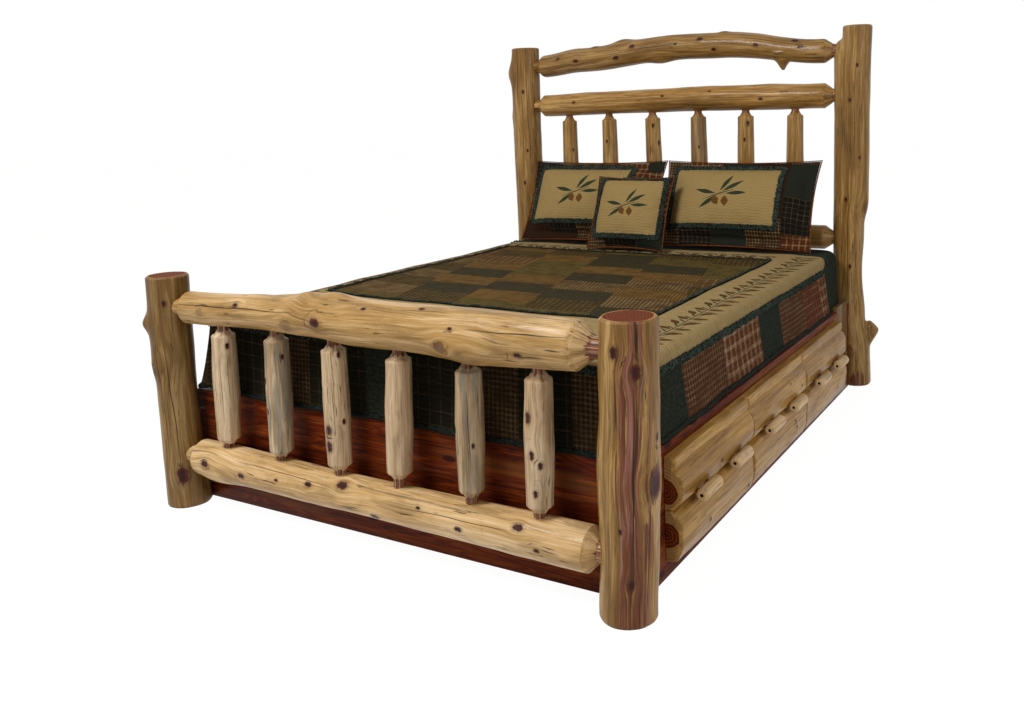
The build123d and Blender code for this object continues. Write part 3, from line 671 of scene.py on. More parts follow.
headboard_left_log = post_log(
    "headboard", "left", -post_x, post_y, headboard_height, headboard_left_shape,
    knots=[
        (1.405, -78, 0.024, 0.022, 0.0), (1.186, -92, 0.022, 0.012, 0.0), (1.31, 20, 0.007),
        (1.02, 30, 0.006), (0.86, 12, 0.007), (0.50, 190, 0.012), (1.10, 170, 0.010),
    ],
    cracks=[(0.95, 42, 1.45, 34, 0.0009)],
    seed=3,
)
headboard_right_log = post_log(
    "headboard", "right", post_x, post_y, headboard_height, headboard_right_shape,
    knots=[
        (0.772, 72, 0.022, 0.010, 0.3), (1.219, -6, 0.006), (0.804, -20, 0.007), (0.52, 10, 0.007),
        (1.36, 20, 0.006), (0.98, 34, 0.005), (0.62, 160, 0.012), (1.12, 200, 0.010),
    ],
    cracks=[(0.30, 0, 0.85, -6, 0.0011), (0.90, 12, 1.40, 16, 0.0010)],
    streaks=[(-0.1, 0.085, 8, 34)],
    seed=4,
)


def make_headboard_right(materials):
    """Post with a second stem that ends below its top and a short branch at its foot."""
    log = headboard_right_log
    bm = bmesh.new()
    grow(bm, log, 64, 0.009)
    top, x = second_stem_height, second_stem_x
    stem = [(0.0, x, second_stem_radii[0]), (top - 0.05, x, second_stem_radii[1])]
    stem += [(top - 0.012, x + 0.004, 0.042), (top, x + 0.008, 0.030)]
    sections = [Section(z, -post_y, middle, radius) for z, middle, radius in stem]
    grow(bm, make_marked("", "stem", "Z", sections, seed=5), 56, 0.009)
    turned = Matrix.Rotation(math.radians(branch_turn), 3, "Z") @ branch_way
    base = turned.to_track_quat("Z", "Y").to_matrix()

    def branch_point(row, turn):
        share = row / 15
        radius = branch_radii[0] + (branch_radii[1] - branch_radii[0]) * share
        radius += 0.020 * math.exp(-share * 4)
        radius *= 1 - 0.12 * max(0.0, share - 0.93) * 14
        c, s = math.cos(turn * math.tau), math.sin(turn * math.tau)
        radius *= 1 + 0.08 * noise.noise(Vector((c, s, share * 3)))
        bend = Vector((0, 0, 0.012 * share * share))
        return branch_root + base @ Vector((c * radius, s * radius, branch_length * share)) + bend

    tube(bm, 16, 32, branch_point)
    obj = show_log(remeshed(mesh_of(bm, log.name), 0.0055, 4), log, materials, "post_log")
    tip = branch_root + turned * branch_length
    for face in obj.data.polygons:
        if (Vector(face.center) - tip).length < 0.034 and face.normal.dot(turned) > 0.8:
            face.material_index = 1


footboard_top = rail_log(
    "footboard", "top",
    knots=[
        (-0.105, 2, 0.013, 0.014), (-0.175, 62, 0.020, 0.015, 0.0), (-0.084, 75, 0.022, 0.016, 0.0),
        (-0.23, -18, 0.022, 0.006, 0.3), (0.236, 69, 0.007), (0.353, 25, 0.005),
        (0.325, -14, 0.016, 0.010, 0.6), (0.40, -30, 0.030, 0.010, 0.0), (0.554, -19, 0.008),
        (-0.45, 30, 0.007), (-0.60, 5, 0.012, 0.006, 0.3), (0.05, 50, 0.006),
        (0.45, 170, 0.012, 0.006), (-0.35, 200, 0.012, 0.005),
    ],
    cracks=[
        (-0.72, 24, -0.20, 16, 0.0013), (0.40, 27, 0.70, 30, 0.0013), (0.02, 58, 0.34, 62, 0.0007),
    ],
    seed=6, pale_low=True,
)
footboard_bottom = rail_log(
    "footboard", "bottom",
    knots=[
        (-0.635, 6, 0.011, 0.004), (-0.478, -2, 0.009), (-0.205, 23, 0.009),
        (-0.078, 43, 0.014, 0.005), (0.046, -29, 0.010, 0.004), (0.339, -1, 0.008),
        (0.520, 39, 0.011, 0.003), (0.58, -8, 0.006), (-0.33, 12, 0.005), (0.20, 30, 0.005),
        (-0.62, -75, 0.040, 0.014, 0.0),
    ],
    cracks=[(-0.50, 40, -0.12, 34, 0.0009), (0.10, 20, 0.50, 26, 0.0008)],
    seed=7, pale_low=True,
)
headboard_crest = rail_log(
    "headboard", "crest",
    knots=[
        (-0.498, -6, 0.009, 0.003), (-0.408, 64, 0.009, 0.007), (-0.282, -15, 0.010, 0.004),
        (-0.199, 27, 0.010, 0.004), (-0.069, -78, 0.026, 0.012, 0.0), (0.140, 30, 0.010, 0.003),
        (0.241, 75, 0.010, 0.008), (0.207, -20, 0.008), (0.569, 50, 0.010, 0.005),
        (0.596, 18, 0.008), (-0.27, 88, 0.024, 0.014, 0.0), (-0.60, 20, 0.007), (0.40, 5, 0.008),
        (0.02, 12, 0.006),
    ],
    cracks=[(-0.35, 5, 0.10, 14, 0.0010), (0.28, 38, 0.62, 30, 0.0009)],
    seed=8,
)
headboard_upper = rail_log(
    "headboard", "upper",
    knots=[(-0.52, 10, 0.006), (-0.05, 20, 0.006), (0.42, -8, 0.007), (0.18, 34, 0.005)],
    cracks=[(-0.60, 20, -0.10, 26, 0.0009), (0.05, 5, 0.55, 0, 0.0009)],
    seed=9,
)
headboard_lower = rail_log(
    "headboard", "lower",
    knots=[(0.62, 24, 0.008), (-0.3, 20, 0.010), (0.2, 170, 0.012)],
    cracks=[(-0.5, 160, 0.3, 172, 0.0010)],
    seed=10,
)


def make_crest(materials):
    """Arched crest rail with the stub of a branch on its underside."""
    log = headboard_crest
    bm = bmesh.new()
    grow(bm, log, 60, 0.009)
    stub_x, stub_start, stub_end = 0.500, 0.018, 0.091
    section = section_at(log.sections, stub_x)

    def stub_point(row, turn):
        share = row / 15
        c, s = math.cos(turn * math.tau), math.sin(turn * math.tau)
        lump = 1 + 0.16 * noise.noise(Vector((c * 1.4, s * 1.4, share * 3)))
        radius = (0.007 + 0.052 * (1 - share) ** 1.25) * lump
        depth = stub_start + (stub_end - stub_start) * share
        x = stub_x + radius * c + 0.006 * share
        return Vector((x, -section.front + radius * s, section.side - depth))

    tube(bm, 16, 28, stub_point)
    show_log(remeshed(mesh_of(bm, log.name), 0.0055, 3), log, materials, "rail_log")


# ---------------------------------------------------------------- spindles
spindle_knots = {
    "footboard": (
        [(0.55, 66, 0.007), (0.30, -40, 0.005)],
        [(0.539, 72, 0.006), (0.466, -28, 0.007), (0.373, -23, 0.007)],
        [
            (0.352, -1, 0.010, 0.002), (0.303, -4, 0.012, 0.002),
            (0.569, 66, 0.006), (0.375, 72, 0.006),
        ],
        [(0.50, 160, 0.006)],
        [(0.378, 47, 0.005), (0.416, -45, 0.008)],
        [(0.480, -20, 0.011), (0.385, -2, 0.009), (0.36, 34, 0.007, 0.002), (0.285, 14, 0.007)],
    ),
    "headboard": (
        [(1.02, 50, 0.006)],
        [(1.06, 4, 0.006)],
        [(1.13, 26, 0.007), (1.05, 70, 0.008)],
        [(1.03, 22, 0.005)],
        [(1.13, 36, 0.008), (1.06, 10, 0.006)],
        [(1.05, 160, 0.005)],
    ),
}
stained_spindles = {"footboard": (2, 5), "headboard": (4,)}


def spindle_sections(node):
    """Sections of a spindle: its necks and shoulders, and one gentle swell between them."""
    found = round_sections(node, "Z")
    body = [s for s in found if s.radius > 0.0345]
    low, high = body[0], body[-1]
    ends = [s for s in found if s.along < low.along or s.along > high.along]
    low, high = low._replace(along=low.along - 0.009), high._replace(along=high.along + 0.009)
    ends = [s for s in ends if s.along < low.along - 0.002 or s.along > high.along + 0.002]
    before = max(s for s in ends if s.along < low.along)
    after = min(s for s in ends if s.along > high.along)
    necks = [before, after]
    for neck, full in zip(necks, (low, high)):
        place = [a + (b - a) * 0.5 for a, b in zip(neck, full)]
        ends.append(Section(*place[:3], neck.radius + (full.radius - neck.radius) * 0.76))
    middle = Section(*((a + b) / 2 for a, b in zip(low[:3], high[:3])), 0.038)
    return sorted([*ends, low, middle, high])


def make_spindles(side, pale, stained, ends):
    """Six spindles of one end of the bed."""
    for number, knots in enumerate(spindle_knots[side], 1):
        node = f"{side}_spindle_{number}"
        cracks = [(0.30, 30 + number, 0.52, 26, 0.0006)] if number % 2 else []
        seed = number + (20 if side == "footboard" else 40)
        name = f"spindle_{side}_log_{number}"
        log = make_marked(node, name, "Z", spindle_sections(node), knots, cracks, seed=seed)
        skin = stained if number in stained_spindles[side] else pale
        make_log(log, [skin, ends], "spindle_log", 48, 0.006)


# ---------------------------------------------------------------- boards
def grain_boards(mesh, boards, along):
    """Straight grain for a mesh of square boards, shifted for each: along is their long axis."""
    first, second = (i for i in range(3) if i != along)
    values = []
    for v in mesh.vertices:
        index = 0
        for i, (low, high) in enumerate(boards):
            if all(low[k] - 1e-4 <= v.co[k] <= high[k] + 1e-4 for k in range(3)):
                index = i
        shift = index * 1.37, index * 0.61, index * 2.9
        axes = first, second, along
        values.append(tuple(v.co[axis] + way for axis, way in zip(axes, shift)))
    put_attribute(mesh, "grain", "FLOAT_VECTOR", values)


def make_boards(name, boards, along, material, body, slot, nodes, bevel=0.0018):
    bm = bmesh.new()
    for low, high in boards:
        block(bm, low, high, bevel)
    mesh = mesh_of(bm, name)
    grain_boards(mesh, boards, along)
    return show(name, mesh, [material], body, slot, nodes, sharp=30)


def islands(node):
    """(low, high) corners of each separate solid of a CAD node."""
    bm = bmesh.new()
    bm.from_mesh(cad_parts[node].data)
    bmesh.ops.remove_doubles(bm, verts=bm.verts, dist=1e-6)
    left = set(bm.verts)
    found = []
    while left:
        group, edge = set(), [left.pop()]
        while edge:
            v = edge.pop()
            group.add(v)
            for e in v.link_edges:
                w = e.other_vert(v)
                if w in left:
                    left.remove(w)
                    edge.append(w)
        points = np.array([v.co for v in group])
        found.append((Vector(points.min(axis=0)), Vector(points.max(axis=0))))
    bm.free()
    return sorted(found, key=lambda pair: tuple(round(pair[0][axis], 3) for axis in (2, 1, 0)))


def square_boards(node):
    """(low, high) corners of each square board of a CAD node: twelve triangles a board."""
    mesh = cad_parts[node].data
    found = []
    for first in range(0, len(mesh.polygons), 12):
        faces = mesh.polygons[first : first + 12]
        points = np.array([mesh.vertices[i].co for face in faces for i in face.vertices])
        if len(np.unique(points.round(5), axis=0)) != 8:
            raise RuntimeError(f"{node} isn't made of square boards")
        found.append((Vector(points.min(axis=0)), Vector(points.max(axis=0))))
    return found


# ---------------------------------------------------------------- drawer fronts and pulls
def lobe(low, high, low_root, high_root, reach, count):
    """Points up a rounded lobe between two heights, as (out, height)."""
    points = []
    for i in range(count):
        u = -1 + 2 * (i + 0.5) / count
        root = low_root + (high_root - low_root) * (u + 1) / 2
        out = root + (reach - root) * (1 - abs(u) ** 2.3) ** 0.62
        points.append((out, low + (high - low) * (u + 1) / 2))
    return points


front_notch, front_seam = 0.297, 0.190
lobe_reaches = {"upper": 0.031, "middle": 0.048, "lower": 0.048}
end_ease = 0.009
Slab = namedtuple("Slab", "low high outline core")


def slab_shapes(low_z, high_z):
    """Outlines of the upper slab, with two lobes, and the lower slab, with one."""
    upper = [(0.0, high_z), (0.0, (high_z + front_seam) / 2), (0.0, front_seam + 0.0006)]
    upper += lobe(front_seam + 0.0006, front_notch, 0.016, 0.026, lobe_reaches["middle"], 22)
    upper += lobe(front_notch, high_z, 0.024, 0.022, lobe_reaches["upper"], 12)
    lower = [(0.0, front_seam - 0.0006), (0.0, (low_z + front_seam) / 2), (0.0, low_z)]
    lower += lobe(low_z, front_seam - 0.0006, 0.026, 0.016, lobe_reaches["lower"], 26)
    return (
        Slab(front_seam, high_z, upper, (0.004, 0.243)),
        Slab(low_z, front_seam, lower, (0.004, 0.122)),
    )


def slab_knots(rng, start, end, low, high):
    """A few knots for one slab, at random places along it."""
    spans = ((start + 0.04, end - 0.04), (low + 0.02, high - 0.02), (0.004, 0.007))
    return [tuple(rng.uniform(*span) for span in spans) for _ in range(rng.randint(1, 2))]


def make_drawer_front(way, side, number, materials):
    """Two half-log slabs, rounded over outwards and flat where they meet the drawer's box."""
    node = f"drawer_front_{side}_{number}"
    low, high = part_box(node)
    plane = way * min(abs(low.x), abs(high.x))
    rng = random.Random(number * 7 + (3 if way > 0 else 11))
    rows = 84
    bm = bmesh.new()
    marks = []
    for slab in slab_shapes(low.z, high.z):
        seed = rng.uniform(0, 50)
        knots = slab_knots(rng, low.y, high.y, slab.low, slab.high)
        marks.append((slab, seed, knots))

        def slab_point(row, turn, outline=slab.outline, seed=seed, knots=knots):
            y = low.y + (high.y - low.y) * row / (rows - 1)
            out, z = outline[round(turn * len(outline)) % len(outline)]
            if out > 0.001:
                eased = max(0.0, 1 - min(y - low.y, high.y - y) / end_ease)
                wave = noise.noise(Vector((seed, y * 5, z * 22)))
                ripple = noise.noise(Vector((seed + 9, y * 16, z * 60)))
                out += 0.006 * wave + 0.0016 * ripple
                out -= end_ease * (1 - math.sqrt(1 - eased * eased))
                for along, height, radius in knots:
                    away = math.hypot(y - along, z - height) / radius
                    out += 0.0022 * math.exp(-((away / 2.4) ** 2))
            return Vector((plane + way * out, y, z))

        tube(bm, rows, len(slab.outline), slab_point)
    mesh = mesh_of(bm, f"front_{side}_{number}")
    marked = []
    for v in mesh.vertices:
        slab, seed, knots = marks[0] if v.co.z > front_seam else marks[1]
        value, nearest, bend = no_knot, 99.0, 0.0
        for along, height, radius in knots:
            across, up = (v.co.z - height) / radius, (v.co.y - along) * 0.75 / radius
            away = math.hypot(across, up)
            if away < nearest:
                nearest, value = away, knot_mark(across, up, 1.0)
            bend += (v.co.z - height) * 0.7 * math.exp(-((away / 2.4) ** 2))
        out = abs(v.co.x) - abs(plane)
        grain = (out - slab.core[0], v.co.z - slab.core[1] - bend, v.co.y + seed)
        marked.append((grain, value, no_crack, 0.0, 0.058))
    mark_rows(mesh, marked)
    for face in mesh.polygons:
        face.material_index = int(abs(face.normal.y) > 0.85 and len(face.vertices) > 8)
    show(mesh.name, mesh, materials, f"drawer_{side}_{number}", "cedar_slab", [node])


pull_radius, pull_half = 0.018, 0.058
pull_spacing, pull_height = 0.244, 0.206
dowel_radius, dowel_spacing = 0.008, 0.070
pith_radius, pith_depth = 0.0045, 0.006


def pull_profile():
    """(along, radius) rings of a pull from one end's pith hole to the other's."""
    end = pull_half
    rim = [
        (end - pith_depth, pith_radius * 0.8),
        (end - 0.0005, pith_radius),
        (end, pith_radius + 0.0008),
        (end, pull_radius * 0.62),
        (end - 0.001, pull_radius * 0.80),
        (end - 0.003, pull_radius * 0.92),
        (end - 0.007, pull_radius),
    ]
    body = [(end * (1 - i / 5), pull_radius * (1 + 0.02 * (i % 2))) for i in range(1, 5)]
    half = rim + body
    return [(-a, r) for a, r in half] + [(0.0, pull_radius)] + [(a, r) for a, r in reversed(half)]


def make_drawer_pulls(way, side, number, materials):
    """Two log pulls, each on two dowels: end grain is the second material, pith the third."""
    node = f"drawer_pulls_{side}_{number}"
    low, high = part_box(node)
    middle = (low.y + high.y) / 2
    inner, outer = sorted((abs(low.x), abs(high.x)))
    axis_x = outer - pull_radius
    dowel_end = axis_x - pull_radius * 0.5
    profile = pull_profile()
    sideways, upwards = Vector((way, 0, 0)), Vector((0, 0, 1))
    bm = bmesh.new()
    centres = [middle - pull_spacing / 2, middle + pull_spacing / 2]
    for index, y in enumerate(centres):
        seed = number * 3 + index + (50 if way < 0 else 0)

        def pull_point(row, turn, y=y, seed=seed):
            along, radius = profile[row]
            a = turn * math.tau
            radius *= 1 + 0.05 * noise.noise(Vector((math.cos(a), math.sin(a), along * 25 + seed)))
            centre = Vector((way * axis_x, y + along, pull_height))
            return round_point(centre, turn, sideways * radius, upwards * radius)

        tube(bm, len(profile), 32, pull_point)
    dowels = []
    for y in centres:
        for step in (-dowel_spacing / 2, dowel_spacing / 2):

            def dowel_point(row, turn, y=y + step):
                centre = Vector((way * (inner + (dowel_end - inner) * row / 4), y, pull_height))
                forward = Vector((0, dowel_radius, 0))
                return round_point(centre, turn, forward, upwards * dowel_radius)

            dowels += tube(bm, 5, 20, dowel_point)
    bm.verts.index_update()
    red = {v.index for v in dowels}
    mesh = mesh_of(bm, f"pulls_{side}_{number}")

    def nearest(y):
        return min(centres, key=lambda centre: abs(y - centre))

    rows = []
    for v in mesh.vertices:
        x, y, z = v.co
        grain = (abs(x) - axis_x, z - pull_height, y + nearest(y) * 5)
        if v.index in red:
            grain = (y, z, x * 2)
        rows.append((grain, no_knot, no_crack, float(v.index in red), pull_radius))
    mark_rows(mesh, rows)
    for face in mesh.polygons:
        x, y, z = face.center
        flat = abs(face.normal.y) > 0.8 and not any(i in red for i in face.vertices)
        from_end = abs(abs(y - nearest(y)) - pull_half)
        from_axis = math.hypot(abs(x) - axis_x, z - pull_height)
        face.material_index = int(flat)
        if from_axis < pith_radius + 0.0006 and from_end < pith_depth + 0.002:
            face.material_index = 2
    show(mesh.name, mesh, materials, f"drawer_{side}_{number}", "pull_log", [node])


# ---------------------------------------------------------------- cloth finishes
def stripes(n, value, pitch, share, shift):
    """1 on the stripes of a woven check, 0 between them."""
    turn = n.calc("FRACT", value * (1.0 / pitch) + shift)
    return n.step(abs(turn - 0.5), share / 2 + 0.03, share / 2 - 0.03)


def check(n, u, v, pitch, share, ground, line, shift):
    """Woven check: uneven lines both ways, strongest where they cross and worn away in places."""
    across, down = (stripes(n, way, pitch, share, shift) for way in (u, v))
    worn = n.noise(n.join(u, v, 1.0 + shift), 19.0, 4.0, 0.7)
    amount = (across + down) * 0.5 * (n.step(worn, 0.34, 0.62) * 0.75 + 0.25)
    return n.mix(amount, rgb(ground), rgb(line))


def patchwork(n, u, v, patch, checks, plains):
    """Patches of checks and plain cloth, each patch picked by its place in the patchwork."""
    column = n.calc("FLOOR", u / patch[0])
    row = n.calc("FLOOR", v / patch[1] + column * 0.37)
    cell = n.join(column, row, 0.5)
    pick = n.out("TexWhiteNoise", {"Vector": cell}, "Value", noise_dimensions="3D")
    cloths = [check(n, u, v, *spec) for spec in checks] + [rgb(plain) for plain in plains]
    color = cloths[0]
    for i, cloth in enumerate(cloths[1:], 1):
        color = n.mix(n.calc("GREATER_THAN", pick, i / len(cloths)), color, cloth)
    return color


def weave(n, u, v, pitch=0.0016):
    """Height of a plain weave."""
    return n.calc("SINE", u * (math.tau / pitch)) * n.calc("SINE", v * (math.tau / pitch))


def quilting(n, u, v, pitch):
    """Height of wavy rows of quilting stitches: puffed between the rows and drawn in at them."""
    wave = n.calc("SINE", u * (math.tau / 0.045))
    slow = n.noise(n.join(u, v), 9.0, 1.0)
    shifted = slow * (pitch * 1.6) + (wave * (pitch * 0.16) + v)
    return abs(n.calc("SINE", shifted * (math.pi / pitch))) ** 0.45


def leaf(n, u, v, x, y, angle, length, width):
    """Mask of one pointed leaf centred at (x, y) and turned by angle degrees."""
    c, s = math.cos(math.radians(angle)), math.sin(math.radians(angle))
    du, dv = u - x, v - y
    along = du * (c / length) + dv * (s / length)
    across = dv * (c / width) - du * (s / width)
    return n.step(abs(along) ** 1.5 + abs(across), 1.08, 0.92)


def painted(n, color, masks, paint):
    """Paint a colour wherever any of the masks is 1."""
    total = masks[0]
    for mask in masks[1:]:
        total = n.calc("MAXIMUM", total, mask)
    return n.mix(total, color, paint)


border_leaves = (
    (-0.046, 0.014, 38, 0.026, 0.0040), (-0.044, -0.015, -34, 0.027, 0.0040),
    (-0.006, 0.018, 58, 0.022, 0.0036), (0.004, -0.016, -46, 0.025, 0.0040),
    (0.038, 0.013, 30, 0.026, 0.0040), (0.048, -0.016, -52, 0.023, 0.0036),
)
border_seeds = (
    (-0.024, 0.027, 58, 0.030, 0.0125), (-0.016, -0.030, -48, 0.029, 0.0115),
    (0.030, 0.032, 66, 0.027, 0.0115), (0.036, -0.028, -60, 0.028, 0.0120),
)


def border_vine(n, color, along, across, settings):
    """Running sprig of narrow leaves and long seed heads along the quilt's border."""
    pitch = 0.128
    u = (n.calc("FRACT", along / pitch) - 0.5) * pitch
    stem = n.step(abs(across), 0.0026, 0.0014)
    greens = [leaf(n, u, across, *row) for row in border_leaves]
    seeds = [leaf(n, u, across, *row) for row in border_seeds]
    grains = n.noise(n.join(along, across), 420.0, 2.0)
    seed = n.mix(n.step(grains, 0.42, 0.6), settings.sprig_seed, rgb("#3f2810"))
    color = painted(n, color, [stem, *greens], settings.sprig_leaf)
    return painted(n, color, seeds, seed)


field_checks = (
    (0.013, 0.42, "#4c3414", "#92703c", 0.1),
    (0.034, 0.16, "#52361a", "#b08e60", 0.3),
    (0.011, 0.44, "#3a3216", "#7a6834", 0.0),
    (0.015, 0.36, "#3c2a12", "#a0845a", 0.6),
    (0.022, 0.26, "#30260f", "#78643a", 0.2),
)
drop_checks = {
    "rust": (0.026, 0.20, "#5a2d1a", "#90735a", 0.2),
    "fine": (0.017, 0.30, "#482a18", "#82664a", 0.5),
    "cream": (0.040, 0.34, "#5c351f", "#a48868", 0.1),
    "dark": (0.040, 0.08, "#1a170e", "#4c3f29", 0.4),
    "brown": (0.014, 0.40, "#2a1c10", "#5e4a2f", 0.4),
}
drop_patches = (
    (-1.62, "dark"), (-1.40, "brown"), (-1.22, "dark"), (-1.06, "brown"), (-0.86, "green"),
    (-0.662, "fine"), (-0.357, "cream"), (-0.041, "green"), (0.168, "fine"), (0.431, "rust"),
    (0.640, "cream"), (0.744, "green"), (1.020, "brown"), (1.250, "dark"),
)


def quilt_drop(n, run, past, settings):
    """Cloth of the quilt's drop: one patch after another round its edge."""
    cloths = {name: check(n, run, past, *spec) for name, spec in drop_checks.items()}
    mottle = n.step(n.noise(n.join(run, past), 70.0, 3.0), 0.4, 0.62)
    cloths["green"] = color = n.mix(mottle, settings.green, rgb("#1c2019"))
    for start, name in drop_patches:
        color = n.mix(n.calc("GREATER_THAN", run, start), color, cloths[name])
    return color


def quilt_border(n, u, v, settings):
    """Tan border round the field, with its sprig in a row along each side."""
    cotton = n.noise(n.join(u, v), 35.0, 3.0)
    tan = n.mix(n.step(cotton, 0.4, 0.65) * 0.3, settings.tan, rgb("#86704a"))
    left_row, right_row = ((field_side + way * field_middle + border_side) / 2 for way in (-1, 1))
    head_row, foot_row = (border_head + field_head) / 2, (field_foot - border_foot) / 2
    from_end = n.mix(n.calc("GREATER_THAN", v, 0.0), foot_row - v, v - head_row)
    from_side = n.mix(n.calc("GREATER_THAN", u, 0.0), -left_row - u, u - right_row)
    on_side = n.calc("GREATER_THAN", abs(u - field_middle), field_side)
    along, across, _ = n.split(n.mix(on_side, n.join(u, from_end), n.join(v, from_side)))
    in_row = n.step(v, border_head - 0.05, border_head - 0.06) * n.step(v, -0.86, -0.85)
    return n.mix(in_row, tan, border_vine(n, tan, along, across, settings))


def quilt_cloth(settings):
    """Patchwork quilt: dark plaid field, tan border with a running sprig, plaid drop."""
    n = Nodes("quilt_patchwork")
    u, v, past = n.split(n.attribute("cloth"))
    run = n.attribute("run", "Fac")
    field = patchwork(n, v * 0.25 + u, v, (0.260, 0.150), field_checks, ("#2c2b1c",))
    slub = n.noise(n.join(u * 26.0, v * 150.0), 1.0, 4.0, 0.65)
    field = n.mix(n.step(slub, 0.46, 0.64) * 0.55, field, rgb("#5c4320"))
    centre, half = (field_head + field_foot) / 2, (field_head - field_foot) / 2
    off_field = n.calc("MAXIMUM", abs(u - field_middle) - field_side, abs(v - centre) - half)
    color = n.mix(n.step(off_field, 0.002, -0.002), quilt_border(n, u, v, settings), field)
    color = n.mix(n.step(abs(off_field), 0.010, 0.007), color, rgb("#14130e"))
    color = n.mix(n.step(past, -0.004, 0.0), color, quilt_drop(n, run, past, settings))
    place = n.mix(n.calc("GREATER_THAN", past, 0.0), n.join(u, v), n.join(run, past))
    sewn_u, sewn_v, _ = n.split(place)
    puff = quilting(n, sewn_u, sewn_v, 0.015)
    # Painted shade: the drawn-in quilting rows, low in the puff, are darkened towards near black.
    color = n.mix(n.step(puff, 0.6, 0.2) * 0.38, color, rgb("#0d0a07"))
    height = weave(n, sewn_u, sewn_v) * 0.06 + puff
    return n.finish(color, 0.92, n.bump(height, 0.0036, 0.9), Specular_IOR_Level=0.08)


def ruffle_cloth(name, color, dark):
    """Gathered trim: close-woven cloth, mottled with its dark colour as painted shade of its folds.
    """
    n = Nodes(name)
    # Painted shade: random patches of the dark colour stand for the shade in the trim's folds.
    mottle = n.step(n.noise(n.place(), 190.0, 3.0), 0.40, 0.60)
    thread = n.bump(n.noise(n.place(), 900.0, 1.0), 0.0006, 0.6)
    return n.finish(n.mix(mottle, dark, color), 0.9, thread, Specular_IOR_Level=0.08)


sham_leaves = (
    (0.045, 0.030, 32, 0.040, 0.0075), (0.020, 0.042, 62, 0.036, 0.0075),
    (-0.050, 0.010, 168, 0.040, 0.0075), (-0.036, -0.026, 214, 0.038, 0.0075),
    (0.060, 0.004, 4, 0.036, 0.0070), (0.0, 0.0, 18, 0.066, 0.0020),
)
sham_berries = ((-0.010, -0.022, 300, 0.018, 0.013), (0.024, -0.024, 276, 0.018, 0.013))


def sham_cloth(pillow, settings):
    """Sham front: cream quilted panel with a leafy sprig, plaid borders; plain plaid back."""
    n = Nodes(f"{pillow.name}_cloth")
    u, v, face = n.split(n.attribute("panel"))
    ragged = (n.noise(n.join(u, v), 60.0, 2.0) - 0.5) * 0.008
    x, y = u - pillow.centre[0], v - pillow.centre[1]
    wide, high = (
        n.step(abs(way) + ragged, half + 0.002, half - 0.002)
        for way, half in zip((x, y), pillow.panel)
    )
    seed = pillow.seed
    checks = (
        (0.013, 0.36, "#2a1a0f", "#7c6644", seed),
        (0.027, 0.24, "#4a2411", "#8c7450", seed + 0.4),
        (0.022, 0.12, "#14110d", "#5a4a32", seed),
    )
    plaid = patchwork(n, u + seed, v, (0.155, 0.16), checks, ("#20231b", "#2b190d"))
    cream = n.mix(n.noise(n.join(u, v), 40.0, 3.0) * 0.35, settings.cream, rgb("#7f683e"))
    scale = pillow.motif
    for shapes, paint in ((sham_leaves, settings.sprig_leaf), (sham_berries, settings.sprig_seed)):
        masks = [
            leaf(n, x + 0.005, y + 0.004, a * scale, b * scale, turn, length * scale, width * scale)
            for a, b, turn, length, width in shapes
        ]
        cream = painted(n, cream, masks, paint)
    color = n.mix(wide * high * n.step(face, 0.0, 0.2), plaid, cream)
    puff = quilting(n, u, v, 0.013)
    # Painted shade: the drawn-in quilting rows, low in the puff, are darkened towards dark brown.
    color = n.mix(n.step(puff, 0.45, 0.1) * 0.25, color, rgb("#20150a"))
    height = weave(n, u, v) * 0.06 + puff
    return n.finish(color, 0.9, n.bump(height, 0.0024, 0.65), Specular_IOR_Level=0.08)


def ticking(name):
    """Off-white mattress cover with a fine twill."""
    n = Nodes(name)
    x, y, z = n.split(n.place())
    twill = n.calc("SINE", (x + y + z) * 3600.0)
    color = n.mix(n.noise(n.place(), 30.0, 2.0) * 0.4, rgb("#d8d2c4"), rgb("#b9b1a0"))
    return n.finish(color, 0.9, n.bump(twill, 0.0004, 0.4), Sheen_Weight=0.2, Sheen_Roughness=0.5)


# ---------------------------------------------------------------- bedding forms
def rounded_ring(level_x, level_y, radius, s, t):
    """Point of a rounded rectangle under the square ring point (s, t), max(|s|, |t|) = 1."""

    def side(w, half):
        straight = half - radius
        run = abs(w) * half
        if run <= straight:
            return math.copysign(run, w), 0.0
        angle = (run - straight) / radius * math.pi / 4
        return math.copysign(straight + radius * math.sin(angle), w), radius * (1 - math.cos(angle))

    if abs(s) >= abs(t):
        y, back = side(t, level_y)
        return math.copysign(level_x - back, s), y
    x, back = side(s, level_x)
    return x, math.copysign(level_y - back, t)


top_corner = 0.070
side_hem = 0.798
side_hem_by_cleat = 0.7835
foot_hem = 1.004
hem_height = case_top + 0.0035
top_edge_radius = 0.030
head_drop = 0.045
cleat_start = 0.79

# the quilt's flat top ends where its edge begins to round over, and its drop hangs from there
flat_x = mattress_high.x + 0.009 - top_edge_radius
flat_y = mattress_high.y + 0.009 - top_edge_radius
flat_corner = top_corner - 0.02
edge_bend = top_edge_radius * math.pi / 2
drop_hang = quilt_high.z - top_edge_radius - hem_height


def top_level(x, y):
    """Height of the quilt's puffed top, fuller along the left edge towards the foot."""
    puff = 0.0022 * noise.noise(Vector((x * 9, y * 9, 1.0)))
    puff += 0.0035 * noise.noise(Vector((x * 2.4, y * 2.4, 4.0)))
    puff += 0.011 * math.exp(-(((x + 0.71) / 0.13) ** 2)) * min(1.0, max(0.0, (0.45 - y) / 0.7))
    return quilt_high.z + puff - 0.0035


